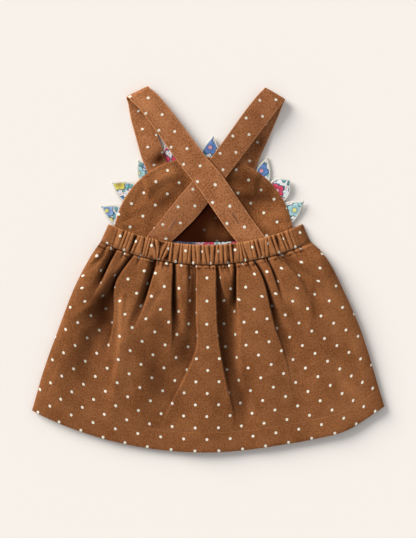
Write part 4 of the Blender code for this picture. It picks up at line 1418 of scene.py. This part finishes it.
def make_waistband():
    """The elastic back waistband, with the stitches of the waist seam."""
    cloth = bpy.context.scene.pinafore_cloth
    columns, rows = 900, 26
    shares = [-BAND_END + (1 + 2 * BAND_END) * k / columns for k in range(columns + 1)]
    middle = [band_surface(share, 0.5) for share in shares]
    marks = lengths_along(middle)
    zero = min(range(columns + 1), key=lambda k: abs(middle[k].x - BAND_COLUMN))
    stretch = BAND_SPACES * DOT_SPACING / marks[-1]
    top, foot = BAND_CUT
    bm = flat_cloth(columns, rows)

    def spot(a, d):
        return shares[round(a * columns)], 1 - d

    lay(
        bm,
        lambda a, d: band_surface(*spot(a, d)) - UP * CORD / 2,
        lambda a, d: ((marks[round(a * columns)] - marks[zero]) * stretch, foot + (top - foot) * d),
        painted_lighting_and_wear=lambda a, d: band_tone(*spot(a, d))[1],
        shade=lambda a, d: band_tone(*spot(a, d))[0],
    )
    piece = finish_piece(
        "waistband_back_cord", bm, [needlecord("band_needlecord", tuple(cloth.cord_colour))],
        ["waistband_back"], thickness=CORD, smooth_edges=75,
    )

    bm = bmesh.new()
    line = [(band_surface(share, BAND_STITCH_DOWN), UP) for share in shares[12:-12]]
    stitches(bm, line, cloth.stitch_length / MM * 0.8, width=0.4)
    finish_piece("waist_seam_stitches", bm, [sewing_thread()])


def make_front_waist():
    """The front waistband and its printed facing."""
    strips = [
        # node, cloth, top, bottom, inset, place on the print, underside, thickness
        ("waistband_front", "cord", FRONT_TOP_RADIUS, FRONT_SEAM_RADIUS - SEAM_GAP, 0, 0, 0, CORD),
        ("waistband_facing", "cotton", LINING_SEAM_RADIUS, FRONT_SEAM_RADIUS - 2, 6, 5400,
         FACING_REST, COTTON),
    ]
    for node, kind, upper, lower, inset, print_y, low, thick in strips:
        halves = [math.asin((w - inset) / r) for w, r in zip(FRONT_HALF_WIDTH, (upper, lower))]
        bm = flat_cloth(120, 10)

        def place(a, d):
            radius = upper + (lower - upper) * (1 - d)
            half = halves[0] + (halves[1] - halves[0]) * (1 - d)
            p = on_arc(FRONT_CENTRE, radius, half * (2 * a - 1))
            return Vector((p.x, p.y, low + thick / 2))

        cord = kind == "cord"
        # On the cotton, shade picks the flowers' colour and the other painted number is painted shade: it
        # darkens the left half of the facing.
        lay(
            bm, place, lambda a, d: ((2 * a - 1) * 118, 24 * d + print_y),
            painted_lighting_and_wear=None if cord else (lambda a, d: 0.9 * smooth((0.49 - a) / 0.07)),
            shade=None if cord else (lambda a, d: 0.76),
        )
        piece = finish_piece(
            f"{node}_{kind}", bm, [front_cord() if cord else printed_cotton()], [node],
            thick,
        )


# ---------------------------------------------------------------------- the skirt


DEEPEST = LOWEST_FOLD - 0.9     # no fold goes much below this height
UNDER_BAND = 0.006              # share of its length that the skirt runs up under the band
ROLLED_EDGE = 1.03              # across, where the cloth's side edges lie when it is spread
SKIRT_COLUMN = -0.01            # across, where a column of dots runs down


def skirt_plan(across, down):
    """A point of the skirt in plan: across -1 to 1, down 0 at the waist to 1 at the hem."""
    waist = on_arc(WAIST_CENTRE, SEAM_RADIUS + SEAM_GAP, WAIST_HALF_ANGLE * across)
    hem = on_arc(HEM_CENTRE, HEM_RADIUS, HEM_TILT + HEM_HALF_ANGLE * across)
    wave = sum(drop * bell((across - at) / half) for at, half, drop in HEM_WAVES)
    sideways = on_table(SIDE_CURVE, max(down, 0)) * across + on_table(SKIRT_SHIFT, max(down, 0))
    return waist.lerp(hem, down) + Vector((sideways, -wave * smooth((down - 0.55) / 0.45)))


def skirt_width(down):
    """Half width of the skirt in plan."""
    return (skirt_plan(1, down) - skirt_plan(-1, down)).length / 2


def swell(across, down):
    """Height that the broad soft swells add."""
    total = 0.0
    for centre, level, half_width, half_length, height in SKIRT_SWELLS:
        total += height * bell((across - centre) / half_width) * bell((down - level) / half_length)
    return total * smooth(down / 0.3)


def roll_width(down):
    """Width of the skirt's rolled sides."""
    return SIDE_ROLL[0] + (SIDE_ROLL[1] - SIDE_ROLL[0]) * smooth(down / 0.25)


# A fold at one level. The break is counted negative where the crisp edge is the right one.
Fold = namedtuple("Fold", "left right depth crisp sharp slope dusk darkness")


def folds_at(down):
    """The folds as they are at a level of the skirt."""
    out = []
    for side, sharp, slope, dusk, darkness, rows in SKIRT_FOLDS:
        columns = ([(row[0], row[k]) for row in rows] for k in (1, 2, 3))
        left, right, depth = (on_table(column, max(down, 0)) for column in columns)
        sharp *= 1 + 0.5 * smooth(down / 0.6)
        crisp, sharp = (left, sharp) if side == "left" else (right, -sharp)
        out.append(Fold(left, right, max(depth, 0), crisp, sharp, slope, dusk, darkness))
    return out


def trough(x, half, fold):
    """How deep a fold is at a place across, and how much painted shade darkens the pile there, each 0 to 1.
    """
    inward = (x - fold.crisp) * half * math.copysign(1, fold.sharp)
    width = (fold.right - fold.left) * half
    deep = smooth(inward / abs(fold.sharp) + 0.3)
    deep *= smooth((width - inward) / (fold.slope * width) + 0.1)
    from_edge = inward / max(fold.dusk * width, 1.6)
    dark = smooth((inward + 0.5) / 0.6) * smooth(1.5 - from_edge) * min(fold.depth / 6.5, 1)
    return deep, fold.darkness * dark


def skirt_relief(point):
    """Height of the skirt's creases and of its small unevenness at a point in plan."""
    height = crease(point, SKIRT_CREASES)
    return height + 0.40 * unevenness(*point, 34, 5.0) + 0.20 * unevenness(*point, 11, 6.0)


def seam_relief(point, down):
    """Height, painted shade and painted highlight that the puckered waist seam and the hem's fold add to the
    skirt.
    """
    pucker = 0.6 * abs(noise.noise(Vector((point.x / 3.4, point.y / 16, 8.0))))
    closed = smooth(0.9 + 1.6 * noise.noise(Vector((point.x / 5.0, 3.0, 4.0))))
    holes = smooth(0.25 + 2.2 * noise.noise(Vector((point.x / 4.2, 5.0, 2.0))))
    height = pucker * (1 - smooth((down - 0.012) / 0.05)) - 0.2
    height += 0.4 * bell((down - 0.011) / 0.005) - 1.1 * closed * bell(down / 0.006)
    height -= 0.5 * (bell((down - 0.024) / 0.006) + bell((1 - down) / 0.006))
    # Painted shade in the seam's holes and where it closes up, and a painted highlight along the welt below
    # it.
    dark = max(0.85 * holes * bell((down - 0.022) / 0.007), 0.5 * closed * bell(down / 0.005))
    return height, dark, 0.45 * bell((down - 0.011) / 0.004)


def skirt_roll(side, down):
    """The rolled side of the back skirt, from the side seam up."""
    half = skirt_width(down)
    crest = on_table(SKIRT_PROFILE, max(down, 0))
    seam = CORD + LAY_GAP + CORD / 2 + 0.2
    centre = (seam - crest * math.sin(ROLL_START)) / (1 - math.sin(ROLL_START))
    points = []
    for k in range(ROLL_STEPS):
        turn = ROLL_START + (math.pi / 2 - ROLL_START) * k / ROLL_STEPS
        inset = roll_width(down) * (1 - math.cos(turn)) / half
        p = skirt_plan(side * (1 - inset), down)
        height = centre + (crest - centre) * math.sin(turn)
        height += skirt_relief(p) * smooth(math.sin(turn)) * smooth(down / 0.1)
        points.append(Vector((p.x, p.y, height)))
    return points


def skirt_surface(across, down, half, folds, gathers):
    """A point of the back skirt's outer face between its rolled sides, with the painted shade and the
    painted highlight on the pile there. half is the skirt's half width at this level."""
    point = skirt_plan(across, down)
    height = on_table(SKIRT_PROFILE, max(down, 0)) + swell(across, down)
    height += skirt_relief(point) * smooth(down / 0.08)
    dark, painted_lighting_and_wear = 0.0, 0.0
    for fold in folds:
        deep, dusk = trough(across, half, fold)
        height -= fold.depth * deep
        # Painted shade: dark from each fold's crisp break in, more so near the seam, and down in its trough.
        dusk *= 1 + 0.6 * bell(down / 0.04)
        dark = max(dark, 0.95 * dusk, 0.25 * deep * min(fold.depth / 7, 1))
        # Painted highlight: a thin lighter line along each fold's crisp edge.
        lip = abs(across - fold.crisp) * half - 0.5
        painted_lighting_and_wear = max(painted_lighting_and_wear, 0.30 * bell(lip / 0.9) * min(fold.depth / 8, 1) * (1 - dusk))
    for at, depth in gathers:
        pinch = bell((across - at) * half / 1.5)
        height -= depth * pinch
        # Painted shade down in the small gathers.
        dark = max(dark, 0.25 * depth * pinch**2)
    # Painted shade and painted light from the strokes.
    painted_dark_strokes, painted_light_strokes = painted_light_and_shade(point, SKIRT_PAINTED_SHADING)
    seam_height, seam_dark, seam_highlight = seam_relief(point, down)
    height += seam_height
    dark = max(1 - (1 - dark) * (1 - painted_dark_strokes), seam_dark)
    height = max(height, DEEPEST + 0.6 * math.exp(min(height - DEEPEST - 1.0, 0)))
    return Vector((*point, height)), Vector((min(dark, 0.97), max(painted_lighting_and_wear, painted_light_strokes, seam_highlight)))


def skirt_section(down, count=760):
    """The back skirt's cloth at one level: its points, how far along each lies, the painted shade and
    painted highlight on the pile at each, where the folds' edges are along it, and where its middle is."""
    folds = folds_at(down)
    half = skirt_width(down)
    edge = 1 - roll_width(down) / half
    gathers = [
        (at, depth * smooth(1.2 - 1.2 * down / reach))
        for at, reach, depth in SMALL_GATHERS if down < reach
    ]
    body, tones = zip(*(
        skirt_surface(edge * (2 * n / count - 1), down, half, folds, gathers) for n in range(count + 1)
    ))
    left, right = skirt_roll(-1, down), skirt_roll(1, down)
    points = [*left, *body, *right[::-1]]
    tones = [tones[0]] * len(left) + [*tones] + [tones[-1]] * len(right)
    marks = lengths_along(points)
    anchors = [0.0]
    for across in [*(fold.crisp for fold in folds), SKIRT_COLUMN]:
        n = len(left) + (across / edge + 1) / 2 * count
        k = int(n)
        anchors.append(marks[k] + (marks[k + 1] - marks[k]) * (n - k))
    middle = anchors.pop()
    return points, marks, tones, [*anchors, marks[-1]], middle


def make_back_skirt():
    """The gathered back. Its grid's columns follow the folds' crisp edges from waist to hem."""
    cloth = bpy.context.scene.pinafore_cloth
    columns, rows = 420, 116
    waist, hem = (
        [-ROLLED_EDGE, *(fold.crisp for fold in folds_at(down)), ROLLED_EDGE] for down in (0.0, 1.0)
    )
    stops = [
        round((a + b + 2 * ROLLED_EDGE) / (4 * ROLLED_EDGE) * columns) for a, b in zip(waist, hem)
    ]
    shares = [k / rows for k in range(rows + 1)]
    levels = [(1 + UNDER_BAND) * share * (0.35 + 0.65 * share) - UNDER_BAND for share in shares]
    above_hem = [SKIRT_LENGTH * (1 - down) for down in levels]
    laid, grains, tones = [], [], []
    for down in levels:
        points, marks, toned, anchors, middle = skirt_section(down)
        row, along, tone, k = [], [], [], 0
        for (first, last), (a, b) in zip(zip(stops, stops[1:]), zip(anchors, anchors[1:])):
            for j in range(first, last + (last == columns)):
                wanted = a + (b - a) * (j - first) / (last - first)
                spot, k = at_length(points, marks, wanted, k)
                row.append(spot)
                tone.append(at_length(toned, marks, wanted, k)[0])
                along.append(wanted - middle)
        laid.append(row)
        grains.append(along)
        tones.append(tone)
    for _ in range(2):
        windows = [grains[max(k - 4, 0):k + 5] for k in range(rows + 1)]
        grains = [[sum(column) / len(column) for column in zip(*window)] for window in windows]
    gathered = next(k for k, down in enumerate(levels) if down > GATHERED_DOWN_TO)
    bm = flat_cloth(columns, rows)

    def at(a, d):
        return round((1 - d) * rows), round(a * columns)

    def place(a, d):
        k, j = at(a, d)
        return laid[k][j]

    def cut(a, d):
        k, j = at(a, d)
        return grains[max(k, gathered)][j], above_hem[k] - PRINT_UP

    def tone(a, d):
        k, j = at(a, d)
        return tones[k][j]

    lay(bm, place, cut, painted_lighting_and_wear=lambda a, d: tone(a, d).y, shade=lambda a, d: tone(a, d).x)
    cord = needlecord("skirt_needlecord", tuple(cloth.cord_colour), creased=HEM_TURNING - PRINT_UP)
    piece = finish_piece(
        "skirt_back_cord", bm, [cord], ["skirt_back"], thickness=CORD, smooth_edges=75
    )
    bm = bmesh.new()
    level = min(range(rows + 1), key=lambda k: abs(above_hem[k] - HEM_TURNING))
    line = [(spot + UP * CORD / 2, UP) for spot in laid[level][14:-14]]
    stitches(bm, line, cloth.stitch_length / MM, width=0.34, sink=0.4)
    hemmed = finish_piece("skirt_hem_stitches", bm, [sewing_thread()])


def make_front_skirt():
    """The plain front, flat on the surface and eased into the front waistband."""
    half_angle = math.asin((FRONT_HALF_WIDTH[1] + 2) / FRONT_SEAM_RADIUS)
    inset = SIDE_ROLL[1] * (1 - math.cos(ROLL_START))
    bm = flat_cloth(150, 80)

    def place(a, d):
        down, across = 1 - d, 2 * a - 1
        top = on_arc(FRONT_CENTRE, FRONT_SEAM_RADIUS, half_angle * across)
        p = skirt_plan(across * (1 - inset / skirt_width(down)), down)
        p = top.lerp(p, smooth(down / 0.1))
        return Vector((p.x, p.y, CORD / 2))

    lay(bm, place, lambda a, d: ((a - 0.5) * 440, SKIRT_LENGTH * d - PRINT_UP))
    piece = finish_piece("skirt_front_cord", bm, [front_cord()], ["skirt_front"], thickness=CORD)


# ---------------------------------------------------------------------- operators


# The stage, in metres but for the sensor's millimetres.
FLOOR_DOWN = 0.0003
VIEW_HEIGHT = 0.6187            # how much the picture shows from top to bottom
SCALED_AT = 0.008               # at this height above the floor
SENSOR_HEIGHT = 24.0
CAMERA_ASIDE = -0.0006


class PINAFORE_OT_fronts(bpy.types.Operator):
    """Lay the front of the dress: bib, waistband with its facing, and skirt"""

    bl_idname = "pinafore.fronts"
    bl_label = "Lay the Front"

    def execute(self, context):
        make_bib_front()
        make_front_waist()
        make_front_skirt()
        return {"FINISHED"}


class PINAFORE_OT_petals(bpy.types.Operator):
    """Sew the printed petals round the bib"""

    bl_idname = "pinafore.petals"
    bl_label = "Sew the Petals"

    def execute(self, context):
        edging = thread("satin_edging", tuple(context.scene.pinafore_cloth.edging_colour), 0.00055)
        for row in PETALS:
            make_petal(row, printed_cotton(), edging)
        return {"FINISHED"}


class PINAFORE_OT_lining(bpy.types.Operator):
    """Lay the bib's lining over the petals' roots and the strap ends"""

    bl_idname = "pinafore.lining"
    bl_label = "Line the Bib"

    def execute(self, context):
        make_lining()
        return {"FINISHED"}


class PINAFORE_OT_straps(bpy.types.Operator):
    """Fold the two straps over the shoulders and cross them"""

    bl_idname = "pinafore.straps"
    bl_label = "Cross the Straps"

    def execute(self, context):
        colours = context.scene.pinafore_cloth
        # A lighter copy of the needlecord: painted sheen on the straps.
        cord = needlecord("strap_needlecord", tuple(colours.strap_colour), rough=1.35)
        laid = [make_strap(strap, cord) for strap in STRAPS]
        for strap, (rings, marks) in zip(STRAPS, laid):
            make_buttonhole(strap["name"] + "_buttonhole", rings, marks, strap["buttonhole"])
        return {"FINISHED"}


class PINAFORE_OT_waistband(bpy.types.Operator):
    """Gather the elastic back waistband"""

    bl_idname = "pinafore.waistband"
    bl_label = "Gather the Waistband"

    def execute(self, context):
        make_waistband()
        return {"FINISHED"}


class PINAFORE_OT_skirt(bpy.types.Operator):
    """Lay the gathered back skirt"""

    bl_idname = "pinafore.skirt"
    bl_label = "Lay the Back Skirt"

    def execute(self, context):
        make_back_skirt()
        return {"FINISHED"}


class PINAFORE_OT_stage(bpy.types.Operator):
    """Set the floor, the soft light and the camera"""

    bl_idname = "pinafore.stage"
    bl_label = "Set the Stage"

    def execute(self, context):
        scene, choice = context.scene, context.scene.pinafore_stage
        bm = bmesh.new()
        bmesh.ops.create_grid(bm, x_segments=1, y_segments=1, size=8.0)
        bmesh.ops.translate(bm, vec=(0, 0, -FLOOR_DOWN), verts=bm.verts)
        mesh = bpy.data.meshes.new("floor")
        bm.to_mesh(mesh)
        bm.free()
        paper, tree, shader = new_material("pale_floor", 0.9, 0.0, specular=0.0)
        spot = step(tree, "TexCoord").node.outputs["Object"]
        fine = grain(tree, spot, 900, 2.0)
        tone = tuple(choice.floor_colour)
        base = blended(tree, ramp(tree, fine, 0.2, 0.8), dyed(tone, 0.995), tone)
        tree.links.new(base, shader.inputs["Base Color"])
        tree.links.new(step(tree, "Bump", 0.05, 0.0001, None, fine), shader.inputs["Normal"])
        mesh.materials.append(paper)
        floor = bpy.data.objects.new("floor", mesh)
        scene.collection.objects.link(floor)

        sun = bpy.data.lights.new("main_light", "SUN")
        sun.angle = choice.sun_softness
        sun.energy = math.pi * choice.sun_share / math.sin(choice.sun_height)
        sun.color = (1.0, 0.985, 0.965)
        lamp = bpy.data.objects.new("main_light", sun)
        aim = Vector((
            math.cos(choice.sun_bearing) * math.cos(choice.sun_height),
            math.sin(choice.sun_bearing) * math.cos(choice.sun_height),
            math.sin(choice.sun_height),
        ))
        lamp.location = aim * 3
        lamp.rotation_euler = aim.to_track_quat("Z", "Y").to_euler()
        scene.collection.objects.link(lamp)

        world = bpy.data.worlds.new("studio")
        world.use_nodes = True
        fill = world.node_tree.nodes["Background"]
        share = 1 - choice.sun_share
        fill.inputs["Color"].default_value = (share, share * 1.03, share * 1.07, 1.0)
        fill.inputs["Strength"].default_value = 1.0
        scene.world = world

        lens = bpy.data.cameras.new("camera")
        lens.sensor_fit = "VERTICAL"
        lens.sensor_height = SENSOR_HEIGHT
        lens.lens = SENSOR_HEIGHT * (choice.camera_height - SCALED_AT) / VIEW_HEIGHT
        lens.clip_end = 50.0
        camera = bpy.data.objects.new("camera", lens)
        camera.location = (0.0, CAMERA_ASIDE, choice.camera_height)
        scene.collection.objects.link(camera)
        scene.camera = camera
        scene.view_settings.view_transform = "Standard"
        scene.view_settings.look = "None"
        return {"FINISHED"}


class PINAFORE_PT_panel(bpy.types.Panel):
    """Lists the dress's pieces in sewing order"""

    bl_idname = "PINAFORE_PT_panel"
    bl_label = "Pinafore Dress"
    bl_space_type = "VIEW_3D"
    bl_region_type = "UI"
    bl_category = "Pinafore"

    def draw(self, context):
        layout = self.layout
        for group in (context.scene.pinafore_cloth, context.scene.pinafore_stage):
            box = layout.box()
            for name in group.bl_rna.properties.keys():
                if name not in ("rna_type", "name"):
                    box.prop(group, name)
        for operator in STEPS:
            layout.operator(operator.bl_idname)


STEPS = (
    PINAFORE_OT_stage,
    PINAFORE_OT_fronts,
    PINAFORE_OT_petals,
    PINAFORE_OT_lining,
    PINAFORE_OT_straps,
    PINAFORE_OT_waistband,
    PINAFORE_OT_skirt,
)
CLASSES = (PinaforeCloth, PinaforeStage, *STEPS, PINAFORE_PT_panel)


def register():
    """Makes the classes and the settings known to Blender."""
    for cls in CLASSES:
        bpy.utils.register_class(cls)
    bpy.types.Scene.pinafore_cloth = bpy.props.PointerProperty(type=PinaforeCloth)
    bpy.types.Scene.pinafore_stage = bpy.props.PointerProperty(type=PinaforeStage)


def unregister():
    """Takes them away again."""
    del bpy.types.Scene.pinafore_stage
    del bpy.types.Scene.pinafore_cloth
    for cls in reversed(CLASSES):
        bpy.utils.unregister_class(cls)


def main():
    """Sews the whole dress on its stage."""
    register()
    bpy.ops.pinafore.stage()
    bpy.ops.pinafore.fronts()
    bpy.ops.pinafore.petals()
    bpy.ops.pinafore.lining()
    bpy.ops.pinafore.straps()
    bpy.ops.pinafore.waistband()
    bpy.ops.pinafore.skirt()


if __name__ == "__main__":
    main()
